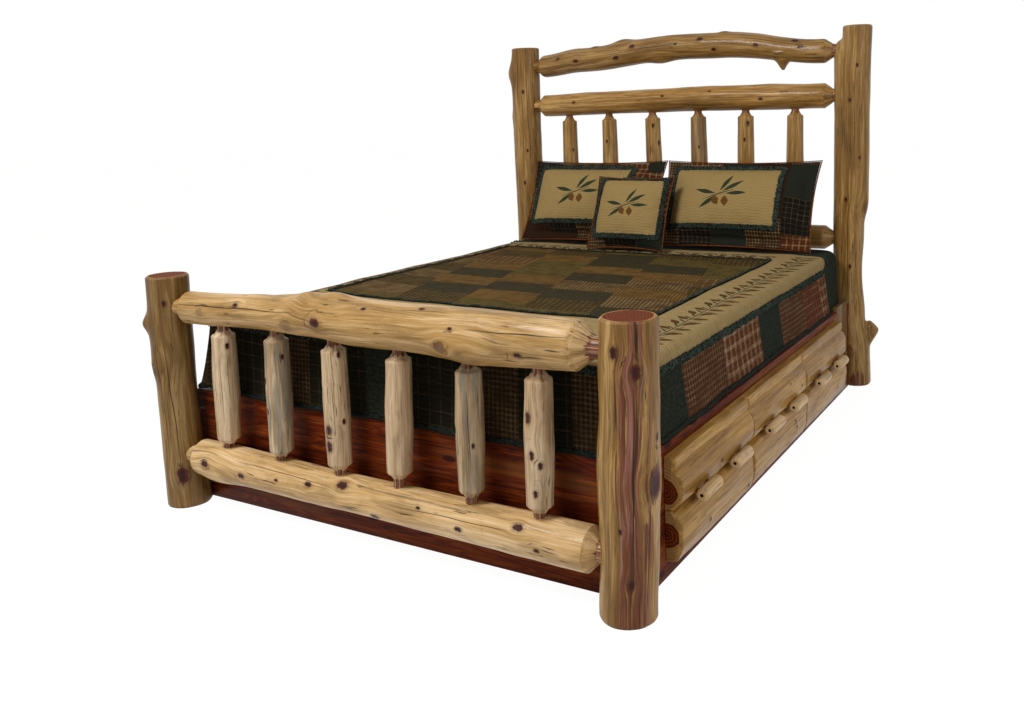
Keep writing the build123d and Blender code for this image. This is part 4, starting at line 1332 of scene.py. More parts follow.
def make_quilt(settings):
    """Quilt over the mattress: a puffed top and a drop that hangs at both sides and the foot."""
    across, along = 120, 152
    bm = bmesh.new()
    cloth = bm.verts.layers.float_vector.new("cloth")
    run = bm.verts.layers.float.new("run")
    made = bmesh.ops.create_grid(bm, x_segments=across, y_segments=along, size=1.0)["verts"]
    for v in made:
        s, t = v.co.x, v.co.y
        level = max(abs(s), abs(t), 1e-6)
        ring_shape = flat_x * level, flat_y * level, flat_corner * level
        x, y = rounded_ring(*ring_shape, s / level, t / level)
        v.co = Vector((x, y, top_level(x, y)))
        v[cloth] = (x, y, beyond_border(x, y))
        v[run] = edge_run(x, y)
    ring = [e for e in bm.edges if e.is_boundary]
    base = {v: v.co.copy() for e in ring for v in e.verts}
    outward = {v: ring_out(co.x, co.y, flat_x, flat_y, flat_corner) for v, co in base.items()}
    drops = [edge_bend * i / 4 for i in range(1, 5)]
    drops += [drops[3] + drop_hang * i / 20 for i in range(1, 21)]
    origin = {v: v for v in base}
    for depth in drops:
        result = bmesh.ops.extrude_edge_only(bm, edges=ring)
        new_edges = [e for e in result["geom"] if isinstance(e, bmesh.types.BMEdge)]
        new_verts = [v for v in result["geom"] if isinstance(v, bmesh.types.BMVert)]
        partner = {}
        for v in new_verts:
            for e in v.link_edges:
                other = e.other_vert(v)
                if other in origin and other not in partner.values():
                    if (other.co - v.co).length < 1e-9:
                        partner[v] = other
        for v, old in partner.items():
            origin[v] = root = origin[old]
            start, out = base[root], outward[root]
            v.co = drop_point(start, out, depth)
            laid = start + out * depth
            v[cloth] = (laid.x, laid.y, beyond_border(laid.x, laid.y))
            v[run] = edge_run(start.x, start.y)
        ring = [e for e in new_edges if all(w in partner for w in e.verts)]
    bmesh.ops.recalc_face_normals(bm, faces=bm.faces)
    if sum(f.normal.z for f in bm.faces) < 0:
        bmesh.ops.reverse_faces(bm, faces=bm.faces)
    mesh = mesh_of(bm, "quilt_cover")
    obj = show("quilt_cover", mesh, [quilt_cloth(settings)], "bed_frame", "quilt_cotton", ["quilt"])
    thicken(obj, 0.006, -1.0)
    return obj


border_side, border_foot, border_head = 0.812, 0.990, 0.800
border_corner = 0.100
field_side, field_middle, field_foot, field_head = 0.634, -0.050, -0.510, 0.645


def beyond_border(x, y):
    """Distance past the outline of the quilt's tan border, negative within it."""
    end = border_head if y > 0 else border_foot
    across, along = abs(x) - (border_side - border_corner), abs(y) - (end - border_corner)
    if across > 0 and along > 0:
        return math.hypot(across, along) - border_corner
    return max(across, along) - border_corner


def edge_run(x, y):
    """Distance round the quilt's edge: y along its sides, running on round its corners."""
    across, along = abs(x) - (flat_x - flat_corner), abs(y) - (flat_y - flat_corner)
    if across > 0 and along > 0:
        distance = flat_y - flat_corner + flat_corner * math.atan2(along, across)
    elif across > along:
        distance = abs(y)
    else:
        distance = flat_y - flat_corner + flat_corner * math.pi / 2 - across
    return math.copysign(distance, y)


def drop_point(start, out, depth):
    """Point of the quilt's drop, depth metres down from the edge of its flat top."""
    if depth <= edge_bend:
        a = depth / top_edge_radius
        fall = Vector((0, 0, top_edge_radius * (1 - math.cos(a))))
        return start + out * top_edge_radius * math.sin(a) - fall
    place = edge_run(start.x, start.y) + (4.0 if start.x < 0 else 0.0)
    share = (depth - edge_bend) / drop_hang
    head = min(1.0, max(0.0, (out.y - 0.2) / 0.6))
    down = drop_hang * share
    flare = 0.0
    if abs(out.x) > 0.5:
        near_cleat = min(1.0, max(0.0, (start.y - cleat_start + 0.06) / 0.06))
        hem = side_hem + (side_hem_by_cleat - side_hem) * near_cleat
        flare = hem - abs(start.x) - top_edge_radius
    elif out.y < 0:
        flare = foot_hem - abs(start.y) - top_edge_radius
    if head:
        down *= 1 - head * (1 - head_drop / drop_hang)
        flare *= 1 - head
    wave = noise.noise(Vector((place * 3.2, share * 0.8, 2.0))) * 0.7
    wave += noise.noise(Vector((place * 9.0, share * 1.6, 5.0))) * 0.3
    room = 0.004 if abs(out.x) > 0.5 and start.y > cleat_start - 0.06 else 0.011
    push = flare * share**1.2 + wave * room * share
    point = start + out * (top_edge_radius + push)
    point.z = start.z - top_edge_radius - down
    if share > 0.97:
        point.z += 0.0025 * abs(math.sin(place * 34))
    return point


def ruffle_band(bm, path, closed, width, lift, pitch, seed):
    """Gathered ribbon sewn down its middle along (point, normal, side) stations."""
    total = sum((b[0] - a[0]).length for a, b in zip(path, path[1:]))
    count = int(total / pitch * 6)
    lengths = np.cumsum([0.0] + [(b[0] - a[0]).length for a, b in zip(path, path[1:])])
    rows = 6
    made = bmesh.ops.create_grid(bm, x_segments=count, y_segments=rows - 1, size=1.0)["verts"]
    for v in made:
        share, across = (v.co.x + 1) / 2, v.co.y
        reach = share * total
        index = min(int(np.searchsorted(lengths, reach, side="right")) - 1, len(path) - 2)
        part = (reach - lengths[index]) / max(lengths[index + 1] - lengths[index], 1e-9)
        point, normal, side = (a.lerp(b, part) for a, b in zip(path[index], path[index + 1]))
        phase = reach / pitch * math.tau + 7.0 * noise.noise(Vector((reach * 23, seed, 0)))
        swell = 0.7 + 1.3 * noise.noise(Vector((reach * 41, seed, 3)))
        wave = (0.5 + 0.5 * math.sin(phase + across * 0.9)) * lift * swell
        wave *= 0.25 + 0.75 * abs(across)
        uneven = 0.30 * noise.noise(Vector((reach * 95, across, seed)))
        spread = width / 2 * (1 + uneven + 0.08 * math.sin(phase))
        v.co = point + normal * (0.0012 + wave) + side * across * spread
    if closed:
        bmesh.ops.remove_doubles(bm, verts=made, dist=0.0008)


def ring_out(x, y, half_x, half_y, radius):
    """Outward direction at the edge of a rounded rectangle."""
    back_x, back_y = half_x - abs(x), half_y - abs(y)
    if back_x < radius and back_y < radius:
        corner = Vector((math.copysign(half_x - radius, x), math.copysign(half_y - radius, y), 0))
        return (Vector((x, y, 0)) - corner).normalized()
    if back_x < back_y:
        return Vector((math.copysign(1, x), 0, 0))
    return Vector((0, math.copysign(1, y), 0))


def loop_path(half_x, half_y, radius, lift_z, centre=(0.0, 0.0), count=240):
    """Stations round a rounded rectangle lying flat."""
    stations = []
    for i in range(count + 1):
        turn = i / count * 8
        edge, along = int(turn // 2) % 4, turn % 2 - 1
        s, t = ((1, along), (-along, 1), (-1, -along), (along, -1))[edge]
        x, y = rounded_ring(half_x, half_y, radius, s, t)
        out = ring_out(x, y, half_x, half_y, radius)
        stations.append((Vector((x + centre[0], y + centre[1], lift_z)), Vector((0, 0, 1)), out))
    return stations


def quilt_station(x, y, out):
    """Place, normal and sideways direction on the quilt's top, which rounds over at its edges."""
    over = ring_out(x, y, flat_x, flat_y, flat_corner)
    across, along = abs(x) - (flat_x - flat_corner), abs(y) - (flat_y - flat_corner)
    round_corner = across > 0 and along > 0
    past = (math.hypot(across, along) if round_corner else max(across, along)) - flat_corner
    past = max(0.0, past)
    start = Vector((x, y, 0)) - over * past
    start.z = top_level(start.x, start.y)
    point = drop_point(start, over, past)
    slope = over
    if past:
        slope = (drop_point(start, over, past + 0.004) - point).normalized()
    normal = (over * -slope.z + Vector((0, 0, slope.dot(over)))).normalized()
    side = slope if out.dot(over) > 0.99 else out
    return point, normal, (side - normal * side.dot(normal)).normalized()


def make_quilt_ruffles(settings):
    """Dark gathered trims: a thick one along the top of the drop, a thin one round the field."""
    bm = bmesh.new()
    half_y, middle = (border_head + border_foot) / 2, (border_head - border_foot) / 2
    path = []
    for point, _, out in loop_path(border_side, half_y, border_corner, 0, (0, middle), count=460):
        path.append(quilt_station(point.x, point.y, out))
    hidden = [i for i, s in enumerate(path) if s[0].y > border_head - 0.01 and abs(s[0].x) < 0.64]
    path = path[hidden[-1] :] + path[: hidden[0]]
    ruffle_band(bm, path, False, 0.024, 0.0070, 0.013, 1.37)
    half_y, middle = (field_head - field_foot) / 2, (field_head + field_foot) / 2
    thin = []
    centre = field_middle, middle
    for point, normal, out in loop_path(field_side, half_y, 0.012, 0, centre, count=320):
        thin.append((Vector((point.x, point.y, top_level(point.x, point.y) + 0.002)), normal, out))
    ruffle_band(bm, thin, True, 0.012, 0.0045, 0.010, 2.37)
    bmesh.ops.recalc_face_normals(bm, faces=bm.faces)
    mesh = mesh_of(bm, "quilt_ruffles")
    material = ruffle_cloth("ruffle_green", settings.ruffle, rgb("#0e110d"))
    obj = show("quilt_ruffles", mesh, [material], "bed_frame", "quilt_cotton", sharp=80)
    thicken(obj, 0.0012)
    return obj


def make_quilt_binding(settings):
    """Dark binding folded over the quilt's hem at both sides and the foot."""
    loop = loop_path(flat_x, flat_y, flat_corner, quilt_high.z - 0.0035, count=900)
    bm = bmesh.new()
    points = []
    head = next(i for i, station in enumerate(loop) if station[2].y > 0.9)
    for point, _, out in loop[head:] + loop[:head]:
        if out.y > 0.2:
            continue
        point.z = top_level(point.x, point.y)
        points.append((drop_point(point, out, edge_bend + drop_hang), out))
    thickness, height, above_hem = 0.0045, 0.0085, 0.006

    def binding_point(row, turn):
        point, out = points[row]
        a = turn * math.tau
        rise = Vector((0, 0, height * math.sin(a) + above_hem))
        return point + out * thickness * math.cos(a) + rise

    tube(bm, len(points), 8, binding_point)
    mesh = mesh_of(bm, "quilt_binding")
    material = ruffle_cloth("binding_green", tint(settings.ruffle, 0.45), rgb("#0b0d0b"))
    return show("quilt_binding", mesh, [material], "bed_frame", "quilt_cotton", sharp=80)


def make_mattress():
    """Padded mattress with rounded corners and taped edges."""
    gap = 0.004
    low, high = mattress_low + Vector((gap, gap, 0.0)), mattress_high - Vector((gap, gap, gap))
    bm = bmesh.new()
    block(bm, low, high, 0)
    upright = [e for e in bm.edges if abs(e.verts[0].co.z - e.verts[1].co.z) > 0.1]
    bmesh.ops.bevel(bm, geom=upright, offset=0.06, segments=8, **bevel_settings)
    level = [e for e in bm.edges if abs(e.verts[0].co.z - e.verts[1].co.z) < 1e-5]
    paired = [e for e in level if len(e.link_faces) == 2]
    rims = [e for e in paired if abs(e.link_faces[0].normal.z - e.link_faces[1].normal.z) > 0.5]
    bmesh.ops.bevel(bm, geom=rims, offset=0.022, segments=5, **bevel_settings)
    mesh = mesh_of(bm, "mattress_pad")
    ticked = [ticking("mattress_ticking")]
    obj = show("mattress_pad", mesh, ticked, "bed_frame", "mattress_ticking", ["mattress"])
    tape = bmesh.new()
    for z in (low.z + 0.020, high.z - 0.020):
        loop = loop_path(high.x - 0.001, high.y - 0.001, 0.058, z, count=260)[:-1]
        loop.append(loop[0])

        def tape_point(row, turn, loop=loop):
            point, up, out = loop[row]
            a = turn * math.tau
            return point + out * 0.004 * math.cos(a) + up * 0.005 * math.sin(a)

        tube(tape, len(loop), 8, tape_point)
    mesh = mesh_of(tape, "mattress_tape")
    material = ruffle_cloth("tape_grey", rgb("#8f8775"), rgb("#6d6656"))
    show("mattress_tape", mesh, [material], "bed_frame", "mattress_ticking", sharp=80)


# ---------------------------------------------------------------- pillows
Pillow = namedtuple("Pillow", "name node half thickness flange panel centre motif seed lean")
sham = (0.352, 0.202), 0.160, 0.044, (0.245, 0.131)
small = (0.186, 0.170), 0.130, 0.010, (0.146, 0.128)
pillows = (
    Pillow("sham_left", "pillow_left", *sham, (-0.053, 0.024), 1.3, 0.2, 25),
    Pillow("sham_right", "pillow_right", *sham, (-0.050, 0.024), 1.3, 0.55, 25),
    Pillow("throw_pillow", "pillow_small", *small, (0.006, 0.018), 1.12, 0.4, 25),
)


def pillow_frame(pillow):
    """Matrix from the pillow's own right, up and out to the bed."""
    low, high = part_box(pillow.node)
    lean = math.radians(pillow.lean)
    up = Vector((0, math.sin(lean), math.cos(lean)))
    out = Vector((0, -math.cos(lean), math.sin(lean)))
    matrix = Matrix((Vector((1, 0, 0)), up, out)).transposed().to_4x4()
    matrix.translation = (low + high) / 2
    return matrix


def pillow_outline(pillow, s, t):
    """Flat place of a pillow point: its sides pull in between the corners."""
    a, b = pillow.half
    pull = 0.050
    u = a * s * (1 - pull * (1 - t * t) * abs(s) ** 3)
    v = b * t * (1 - pull * 1.3 * (1 - s * s) * abs(t) ** 3)
    return u, v


def pillow_height(pillow, s, t):
    """Half thickness of the stuffed form, and of the flat flange round it."""
    a, b = pillow.half
    x, y = abs(s) * a / (a - pillow.flange), abs(t) * b / (b - pillow.flange)
    edge = max(abs(s), abs(t))
    seam = 0.0028 * min(1.0, (1 - edge) * 30)
    if x >= 1 or y >= 1:
        return seam
    stuffed = pillow.thickness / 2 * ((1 - x**2.4) ** 0.6) * ((1 - y**2.4) ** 0.6)
    crease = noise.noise(Vector((s * 3.4, t * 3.1, pillow.seed * 9)))
    fine = noise.noise(Vector((s * 9, t * 7, pillow.seed * 5)))
    return max(seam, stuffed * (1 + 0.10 * crease) + 0.003 * fine * min(1.0, stuffed * 40))


def swell(obj, pressure, frames, reach):
    """Let the cloth swell under pressure, keeping each point within reach of its start."""
    start = np.array([v.co for v in obj.data.vertices])
    cloth = obj.modifiers.new("Cloth", "CLOTH")
    settings = cloth.settings
    settings.quality = 6
    settings.mass = 0.25
    settings.tension_stiffness = 12
    settings.compression_stiffness = 12
    settings.bending_stiffness = 0.4
    settings.use_pressure = True
    settings.uniform_pressure_force = pressure
    settings.effector_weights.gravity = 0.0
    settings.vertex_group_mass = "pinned"
    scene = bpy.context.scene
    scene.frame_start, scene.frame_end = 1, frames
    for step in range(1, frames + 1):
        scene.frame_set(step)
    after = baked(obj)
    end = np.array([v.co for v in after.vertices])
    move = end - start
    size = np.linalg.norm(move, axis=1, keepdims=True)
    move *= np.minimum(1.0, reach / np.maximum(size, 1e-9))
    obj.modifiers.remove(cloth)
    obj.data.vertices.foreach_set("co", (start + move).astype(np.float32).ravel())
    obj.data.update()
    bpy.data.meshes.remove(after)
    scene.frame_set(1)


def make_pillow(pillow):
    """Stuffed sham: two cloths sewn together, flat at the flange, and swelled."""
    across = int(pillow.half[0] * 2 / 0.008)
    up = int(pillow.half[1] * 2 / 0.008)
    bm = bmesh.new()
    panel = bm.verts.layers.float_vector.new("panel")
    pin = bm.verts.layers.deform.new()
    front = bmesh.ops.create_grid(bm, x_segments=across, y_segments=up, size=1.0)
    copy = bmesh.ops.duplicate(bm, geom=bm.verts[:] + bm.edges[:] + bm.faces[:])
    back = [v for v in copy["geom"] if isinstance(v, bmesh.types.BMVert)]
    copied = [f for f in copy["geom"] if isinstance(f, bmesh.types.BMFace)]
    bmesh.ops.reverse_faces(bm, faces=copied)
    for verts, way in ((front["verts"], 1.0), (back, -1.0)):
        for v in verts:
            s, t = v.co.x, v.co.y
            u, w = pillow_outline(pillow, s, t)
            height = pillow_height(pillow, s, t)
            x = abs(s) * pillow.half[0] / (pillow.half[0] - pillow.flange)
            y = abs(t) * pillow.half[1] / (pillow.half[1] - pillow.flange)
            edge = max(abs(s), abs(t)) > 0.9999
            v.co = Vector((u, w, 0.0 if edge else way * height))
            v[panel] = (u, w, way)
            v[pin][0] = 1.0 if max(x, y) > 0.97 else 0.0
    bmesh.ops.remove_doubles(bm, verts=bm.verts, dist=1e-6)
    bmesh.ops.recalc_face_normals(bm, faces=bm.faces)
    if bm.calc_volume(signed=True) < 0:
        bmesh.ops.reverse_faces(bm, faces=bm.faces)
    mesh = mesh_of(bm, pillow.name)
    obj = placed(pillow.name, mesh)
    obj.vertex_groups.new(name="pinned")
    swell(obj, 3.0, 16, 0.012)
    return obj


def dress_pillow(obj, pillow, settings):
    """Place the pillow, give it its cloth, piping and gathered trim."""
    matrix = pillow_frame(pillow)
    surface = BVHTree.FromPolygons(
        [v.co.copy() for v in obj.data.vertices], [list(p.vertices) for p in obj.data.polygons]
    )
    trim = bmesh.new()
    path = []
    wide, high = (half + 0.008 for half in pillow.panel)
    for point, _, out in loop_path(wide, high, 0.014, 0, pillow.centre, count=260):
        hit = surface.ray_cast(Vector((point.x, point.y, 0.5)), Vector((0, 0, -1)))
        spot, normal = (hit[0], hit[1]) if hit[0] else (point, Vector((0, 0, 1)))
        normal = -normal if normal.z < 0 else normal
        side = (out - normal * out.dot(normal)).normalized()
        path.append((spot, normal, side))
    ruffle_band(trim, path, True, 0.023, 0.0060, 0.011, pillow.seed * 10 + 0.37)
    bmesh.ops.recalc_face_normals(trim, faces=trim.faces)
    piping = bmesh.new()
    count = 300

    def piping_point(row, turn):
        step = row / count * 8
        edge, along = int(step // 2) % 4, step % 2 - 1
        s, t = ((1, along), (-along, 1), (-1, -along), (along, -1))[edge]
        u, w = pillow_outline(pillow, s, t)
        centre = Vector((u, w, 0)) * 1.003
        out = centre.normalized()
        return round_point(centre, turn, out * 0.0032, Vector((0, 0, 0.0032)))

    tube(piping, count + 1, 8, piping_point)
    made = []
    gathered = ruffle_cloth(f"{pillow.name}_trim", settings.ruffle, rgb("#0e110d"))
    corded = ruffle_cloth(f"{pillow.name}_cord", settings.rust, rgb("#4a2410"))
    for bm, part, material in ((trim, "ruffle", gathered), (piping, "piping", corded)):
        name = f"{pillow.name}_{part}"
        mesh = mesh_of(bm, name)
        mesh.transform(matrix)
        made.append(show(name, mesh, [material], "bed_frame", cloth_slot(pillow), sharp=80))
    thicken(made[0], 0.0012)
    obj.data.transform(matrix)
    obj.data.materials.append(sham_cloth(pillow, settings))
    obj.data.shade_smooth()
    smooth = obj.modifiers.new("Smooth", "SUBSURF")
    smooth.levels = 1
    smooth.render_levels = 1
    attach(obj, "bed_frame")
    cloth_slot(pillow)
    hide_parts(pillow.node)


def cloth_slot(pillow):
    return "throw_cotton" if pillow.node == "pillow_small" else "sham_cotton"


# ---------------------------------------------------------------- settings
def color_property(name, description, default):
    return bpy.props.FloatVectorProperty(
        name=name,
        description=description,
        subtype="COLOR",
        size=4,
        min=0.0,
        max=1.0,
        default=default,
    )


def share_property(name, description, default):
    return bpy.props.FloatProperty(
        name=name, description=description, default=default, min=0.0, max=1.0
    )


def light_property(name, description, default, **settings):
    return bpy.props.FloatProperty(
        name=name, description=description, default=default, min=0.0, **settings
    )


class LogBedWood(bpy.types.PropertyGroup):
    pale: color_property("Pale", "Palest sapwood", rgb("#b8955e"))
    sap: color_property("Sapwood", "Main sapwood colour", rgb("#8b6633"))
    shade: color_property("Shade", "Darker sapwood between streaks", rgb("#563a1a"))
    deep: color_property("Streak", "Darkest streaks", rgb("#30200c"))
    heart: color_property("Heartwood", "Red heartwood", rgb("#704026"))
    heart_dark: color_property("Dark heartwood", "Darkest heartwood", rgb("#452215"))
    heart_pale: color_property("Pale heartwood", "Palest heartwood", rgb("#976a5e"))
    knot: color_property("Knot", "Middle of a knot", rgb("#2a0b04"))
    knot_ring: color_property("Knot ring", "Body of a knot", rgb("#521a0a"))
    streaked: share_property("Streaked heart", "Sapwood lines in the red heartwood", 0.8)
    roughness: share_property("Roughness", "Roughness of the wood under the varnish", 0.30)
    varnish: share_property("Varnish", "Strength of the gloss coat", 0.14)


class LogBedCloth(bpy.types.PropertyGroup):
    green: color_property("Green", "Dark green patches", rgb("#272b22"))
    ruffle: color_property("Trim", "Gathered trim", rgb("#3a443c"))
    tan: color_property("Border", "Quilt border", rgb("#a68e60"))
    cream: color_property("Panel", "Quilted panel of the shams", rgb("#a08655"))
    rust: color_property("Piping", "Rust piping", rgb("#7c4522"))
    sprig_leaf: color_property("Leaf", "Leaves of the sprig", rgb("#2e3828"))
    sprig_seed: color_property("Seed head", "Seed heads of the sprig", rgb("#64421d"))


class LogBedStage(bpy.types.PropertyGroup):
    key: light_property("Key light", "Power of the main softbox", 150.0, unit="POWER")
    fill: light_property("Fill light", "Power of the fill softbox", 40.0, unit="POWER")
    sky: light_property("Surrounding light", "Strength of the even light", 0.30)


# ---------------------------------------------------------------- operators
def wood_settings():
    return bpy.context.scene.log_bed_wood


def cloth_settings():
    return bpy.context.scene.log_bed_cloth


def tint(color, factor):
    return tuple(min(1.0, c * factor) for c in color[:3]) + (1.0,)


def colors(*texts):
    return [rgb(text) for text in texts]


class LOGBED_OT_headboard(bpy.types.Operator):
    """Grow the headboard's posts, rails and spindles"""

    bl_idname = "logbed.headboard"
    bl_label = "Headboard"

    def execute(self, context):
        s = wood_settings()
        woods = s.pale, s.sap, s.shade
        # Painted light: the upper and lower rails get a brightened copy of the log colours.
        painted_light_woods = tint(s.pale, 1.25), tint(s.sap, 1.35), tint(s.shade, 1.35)
        logs = peeled_log("headboard_log", woods, s)
        sticks = peeled_log("headboard_spindle", (tint(s.pale, 1.1), tint(s.sap, 1.1), s.shade), s)
        stained = peeled_log("headboard_stained", woods, s, 0.35)
        lit = peeled_log("headboard_rail_painted_light", painted_light_woods, s)
        ends = end_grain("headboard_end", s, 0.86)
        make_log(headboard_left_log, [logs, ends], "post_log")
        make_headboard_right([logs, ends])
        make_crest([logs, ends])
        for rail in (headboard_upper, headboard_lower):
            make_log(rail, [lit, ends], "rail_log", 60, 0.009)
        make_spindles("headboard", sticks, stained, ends)
        return {"FINISHED"}


class LOGBED_OT_footboard(bpy.types.Operator):
    """Grow the footboard's posts, rails and spindles"""

    bl_idname = "logbed.footboard"
    bl_label = "Footboard"

    def execute(self, context):
        s = wood_settings()
        # Painted shade: the left post gets a darkened copy of the post colours.
        painted_shade_woods = tint(s.pale, 0.66), tint(s.sap, 0.64), tint(s.shade, 0.70)
        posts = peeled_log("footboard_post", (s.pale, s.sap, s.shade), s)
        # Painted light: both rails get colours brighter than the posts', for the light that falls
        # on them from above.
        rails = peeled_log("footboard_rail_painted_light", colors("#d4b282", "#ae884f", "#79582f"), s)
        lower = peeled_log("footboard_lower_rail", colors("#e6c89c", "#c8a26c", "#92703f"), s)
        shaded = peeled_log("footboard_shaded_post", painted_shade_woods, s)
        sticks = peeled_log("footboard_spindle", colors("#dec8a8", "#bfa27e", "#8c6e4e"), s)
        stained = peeled_log("footboard_stained", colors("#d2bea0", "#b09674", "#7f6649"), s, 0.55)
        ends = end_grain("footboard_end", s, 0.93)
        make_log(footboard_left_log, [shaded, ends], "post_log")
        make_log(footboard_right_log, [posts, ends], "post_log")
        for rail, skin in ((footboard_top, rails), (footboard_bottom, lower)):
            make_log(rail, [skin, ends], "rail_log", 72, 0.007)
        make_spindles("footboard", sticks, stained, ends)
        return {"FINISHED"}


class LOGBED_OT_case(bpy.types.Operator):
    """Board the pedestal and finish what it holds"""

    bl_idname = "logbed.case"
    bl_label = "Pedestal case"

    def execute(self, context):
        red = board_wood("red_cedar", ("#36120a", "#66270c", "#8c451c", "#925c2c"), 0.35, 0.03, 0.5)
        pale = board_wood(
            "pale_board", ("#4f3820", "#6e502d", "#8a6a40", "#9c7c50"), 0.3, 0.12, 0.42, 0.4
        )

        def board_up(name, node, boards, along, wood, slot):
            make_boards(name, boards, along, wood, "bed_frame", slot, [node])

        for node in ("foot_panel", "head_panel"):
            board_up(f"{node}_boards", node, islands(node), 0, red, "red_cedar_board")
        for node in ("side_frame_left", "side_frame_right"):
            board_up(f"{node}_boards", node, square_boards(node), 1, red, "red_cedar_board")
        cleats = square_boards("head_cleats")
        board_up("head_cleat_boards", "head_cleats", cleats, 2, pale, "pale_board")
        ply = plain_wood("case_ply", "#a88653", "#cfb07c", (0, 0, math.pi / 2))
        pine = plain_wood("case_pine", "#b08f5c", "#d9bd8a")
        maple = plain_wood("runner_wood", "#a5814d", "#c9a670")
        steel = zinc("bolt_zinc")
        finishes = {
            "case_dividers_left": pine,
            "case_dividers_right": pine,
            "case_back_left": ply,
            "case_back_right": ply,
            "drawer_runners_left": maple,
            "drawer_runners_right": maple,
            "centre_support": ply,
            "deck_slats": pine,
            "bed_bolts": steel,
        }
        for node, material in finishes.items():
            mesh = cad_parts[node].data
            mesh.materials.clear()
            mesh.materials.append(material)
        return {"FINISHED"}


class LOGBED_OT_drawers(bpy.types.Operator):
    """Make each drawer's box, slab front and log pulls"""

    bl_idname = "logbed.drawers"
    bl_label = "Drawers"

    def execute(self, context):
        s = wood_settings()
        slab_woods = colors("#c69a52", "#a07634", "#74501f")
        slab = peeled_log("slab_face", slab_woods, s, 0.0, 0.15, rgb("#4c3213"))
        slab_end = end_grain("slab_end", s, 0.62)
        pull = peeled_log("pull_log", colors("#e2c49a", "#cca876", "#a07c4c"), s)
        pull_end = end_grain("pull_end", s, 0.0, rgb("#e0c498"), rgb("#c09c6a"))
        pith = plain_wood("pull_pith", "#150a05", "#2a150b")
        pine = board_wood(
            "drawer_pine", ("#b08c55", "#c9a66c", "#dcc08c", "#e3cc9c"), 0.4, 0.05, 0.5, 0.5
        )
        for way, side in ((-1, "left"), (1, "right")):
            for number in (1, 2, 3):
                name, body = f"box_{side}_{number}", f"drawer_{side}_{number}"
                node = f"drawer_{name}"
                boards = square_boards(node)
                make_boards(name, boards, 1, pine, body, "drawer_pine", [node], 0.001)
                make_drawer_front(way, side, number, [slab, slab_end])
                make_drawer_pulls(way, side, number, [pull, pull_end, pith])
        return {"FINISHED"}


class LOGBED_OT_mattress(bpy.types.Operator):
    """Make the mattress"""

    bl_idname = "logbed.mattress"
    bl_label = "Mattress"

    def execute(self, context):
        make_mattress()
        return {"FINISHED"}


class LOGBED_OT_quilt(bpy.types.Operator):
    """Drape the quilt with its gathered trim and binding"""

    bl_idname = "logbed.quilt"
    bl_label = "Quilt"

    def execute(self, context):
        settings = cloth_settings()
        quilt = make_quilt(settings)
        ruffles = make_quilt_ruffles(settings)
        binding = make_quilt_binding(settings)
        return {"FINISHED"}


class LOGBED_OT_pillows(bpy.types.Operator):
    """Make the shams and the small square pillow"""

    bl_idname = "logbed.pillows"
    bl_label = "Pillows"

    def execute(self, context):
        settings = cloth_settings()
        for pillow in pillows:
            dress_pillow(make_pillow(pillow), pillow, settings)
        return {"FINISHED"}


camera_place = Vector((1.816, -2.954, 1.236))
camera_heading = 29.54
camera_dip = 7.98
camera_roll = -1.97
camera_lens = 33.21
camera_shift = (-0.0808, -0.1152)


def softbox(name, place, target, size, power):
    light = bpy.data.lights.new(name, "AREA")
    light.shape = "RECTANGLE"
    light.size, light.size_y = size
    light.energy = power
    lamp = placed(name, light)
    lamp.location = place
    lamp.rotation_mode = "QUATERNION"
    lamp.rotation_quaternion = (Vector(target) - Vector(place)).to_track_quat("-Z", "Y")


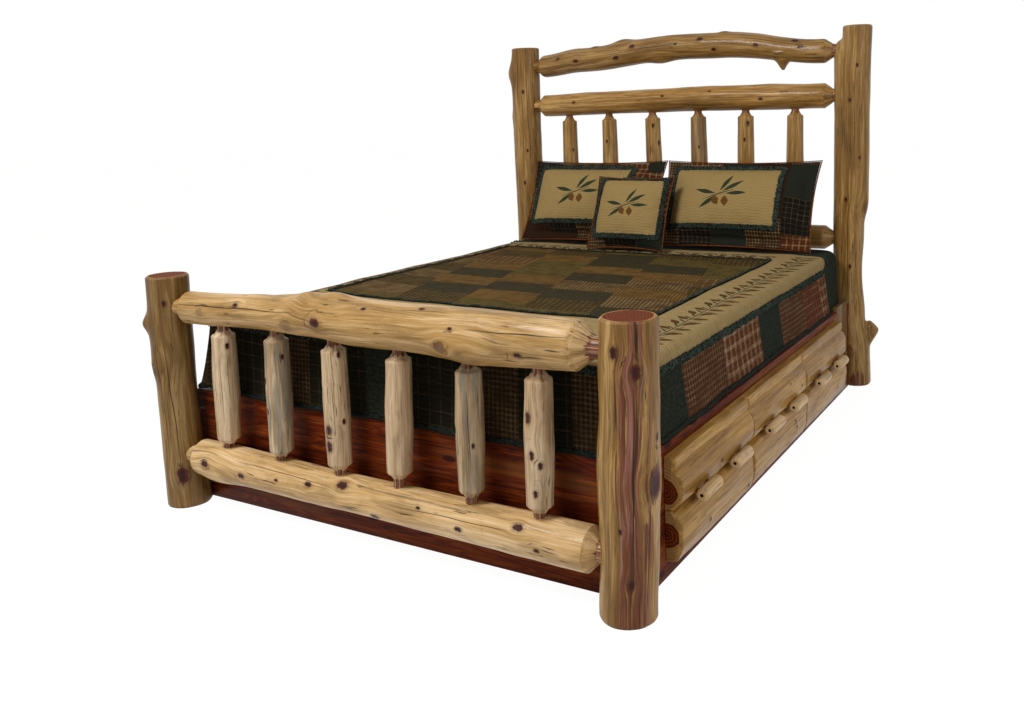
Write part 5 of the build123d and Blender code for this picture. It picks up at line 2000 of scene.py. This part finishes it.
class LOGBED_OT_stage(bpy.types.Operator):
    """Set the floor, the light and the camera"""

    bl_idname = "logbed.stage"
    bl_label = "Stage"

    def execute(self, context):
        s = context.scene.log_bed_stage
        bm = bmesh.new()
        bmesh.ops.create_grid(bm, x_segments=1, y_segments=1, size=30.0)
        bmesh.ops.translate(bm, vec=(0, 0, -0.0005), verts=bm.verts)
        floor = placed("floor", mesh_of(bm, "floor"))
        n = Nodes("floor_paper")
        matte = n.out("BsdfDiffuse", {"Color": (0.8, 0.79, 0.78, 1)})
        glow = n.out("Emission", {"Color": (1, 1, 1, 1), "Strength": 1.12})
        share = n.background_rays() * 0.86
        n.add("OutputMaterial", {"Surface": n.out("MixShader", {0: share, 1: matte, 2: glow})})
        floor.data.materials.append(n.owner)

        n = Nodes("studio", "worlds")
        even = n.out("Background", {"Color": (1.0, 0.98, 0.95, 1), "Strength": s.sky})
        white = n.out("Background", {"Color": (1, 1, 1, 1)})
        share = n.background_rays()
        n.add("OutputWorld", {"Surface": n.out("MixShader", {0: share, 1: even, 2: white})})
        context.scene.world = n.owner

        target = (0.1, -0.2, 0.5)
        softbox("key", (-0.9, -3.0, 4.0), target, (1.7, 1.2), s.key)
        softbox("fill", (3.8, -1.6, 2.0), target, (2.2, 1.6), s.fill)

        lens = bpy.data.cameras.new("view")
        camera = placed("view", lens)
        lens.sensor_width = 36.0
        lens.lens = camera_lens
        lens.shift_x, lens.shift_y = camera_shift
        lens.clip_start, lens.clip_end = 0.05, 100.0
        heading, dip, roll = (math.radians(a) for a in (camera_heading, camera_dip, camera_roll))
        level = math.cos(dip)
        ahead = Vector((-math.sin(heading) * level, math.cos(heading) * level, -math.sin(dip)))
        right = Vector((math.cos(heading), math.sin(heading), 0))
        up = right.cross(ahead)
        right, up = (
            right * math.cos(roll) + up * math.sin(roll),
            up * math.cos(roll) - right * math.sin(roll),
        )
        matrix = Matrix((right, up, -ahead)).transposed().to_4x4()
        matrix.translation = camera_place
        camera.matrix_world = matrix
        context.scene.camera = camera
        context.scene.view_settings.view_transform = "Standard"
        return {"FINISHED"}


class LOGBED_PT_panel(bpy.types.Panel):
    bl_label = "Log Bed"
    bl_idname = "LOGBED_PT_panel"
    bl_space_type = "VIEW_3D"
    bl_region_type = "UI"
    bl_category = "Log Bed"

    def draw(self, context):
        scene = context.scene
        for group in (scene.log_bed_wood, scene.log_bed_cloth, scene.log_bed_stage):
            box = self.layout.box()
            for name in group.__annotations__:
                box.prop(group, name)
        for operator in operators:
            self.layout.operator(operator.bl_idname)


groups = (LogBedWood, LogBedCloth, LogBedStage)
operators = (
    LOGBED_OT_stage,
    LOGBED_OT_headboard,
    LOGBED_OT_footboard,
    LOGBED_OT_case,
    LOGBED_OT_drawers,
    LOGBED_OT_mattress,
    LOGBED_OT_quilt,
    LOGBED_OT_pillows,
)


def register():
    for cls in (*groups, *operators, LOGBED_PT_panel):
        bpy.utils.register_class(cls)
    bpy.types.Scene.log_bed_wood = bpy.props.PointerProperty(type=LogBedWood)
    bpy.types.Scene.log_bed_cloth = bpy.props.PointerProperty(type=LogBedCloth)
    bpy.types.Scene.log_bed_stage = bpy.props.PointerProperty(type=LogBedStage)


def unregister():
    del bpy.types.Scene.log_bed_stage
    del bpy.types.Scene.log_bed_cloth
    del bpy.types.Scene.log_bed_wood
    for cls in reversed((*groups, *operators, LOGBED_PT_panel)):
        bpy.utils.unregister_class(cls)


def main():
    register()
    for operator in operators:
        category, name = operator.bl_idname.split(".")
        getattr(getattr(bpy.ops, category), name)()
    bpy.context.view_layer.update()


if __name__ == "__main__":
    main()
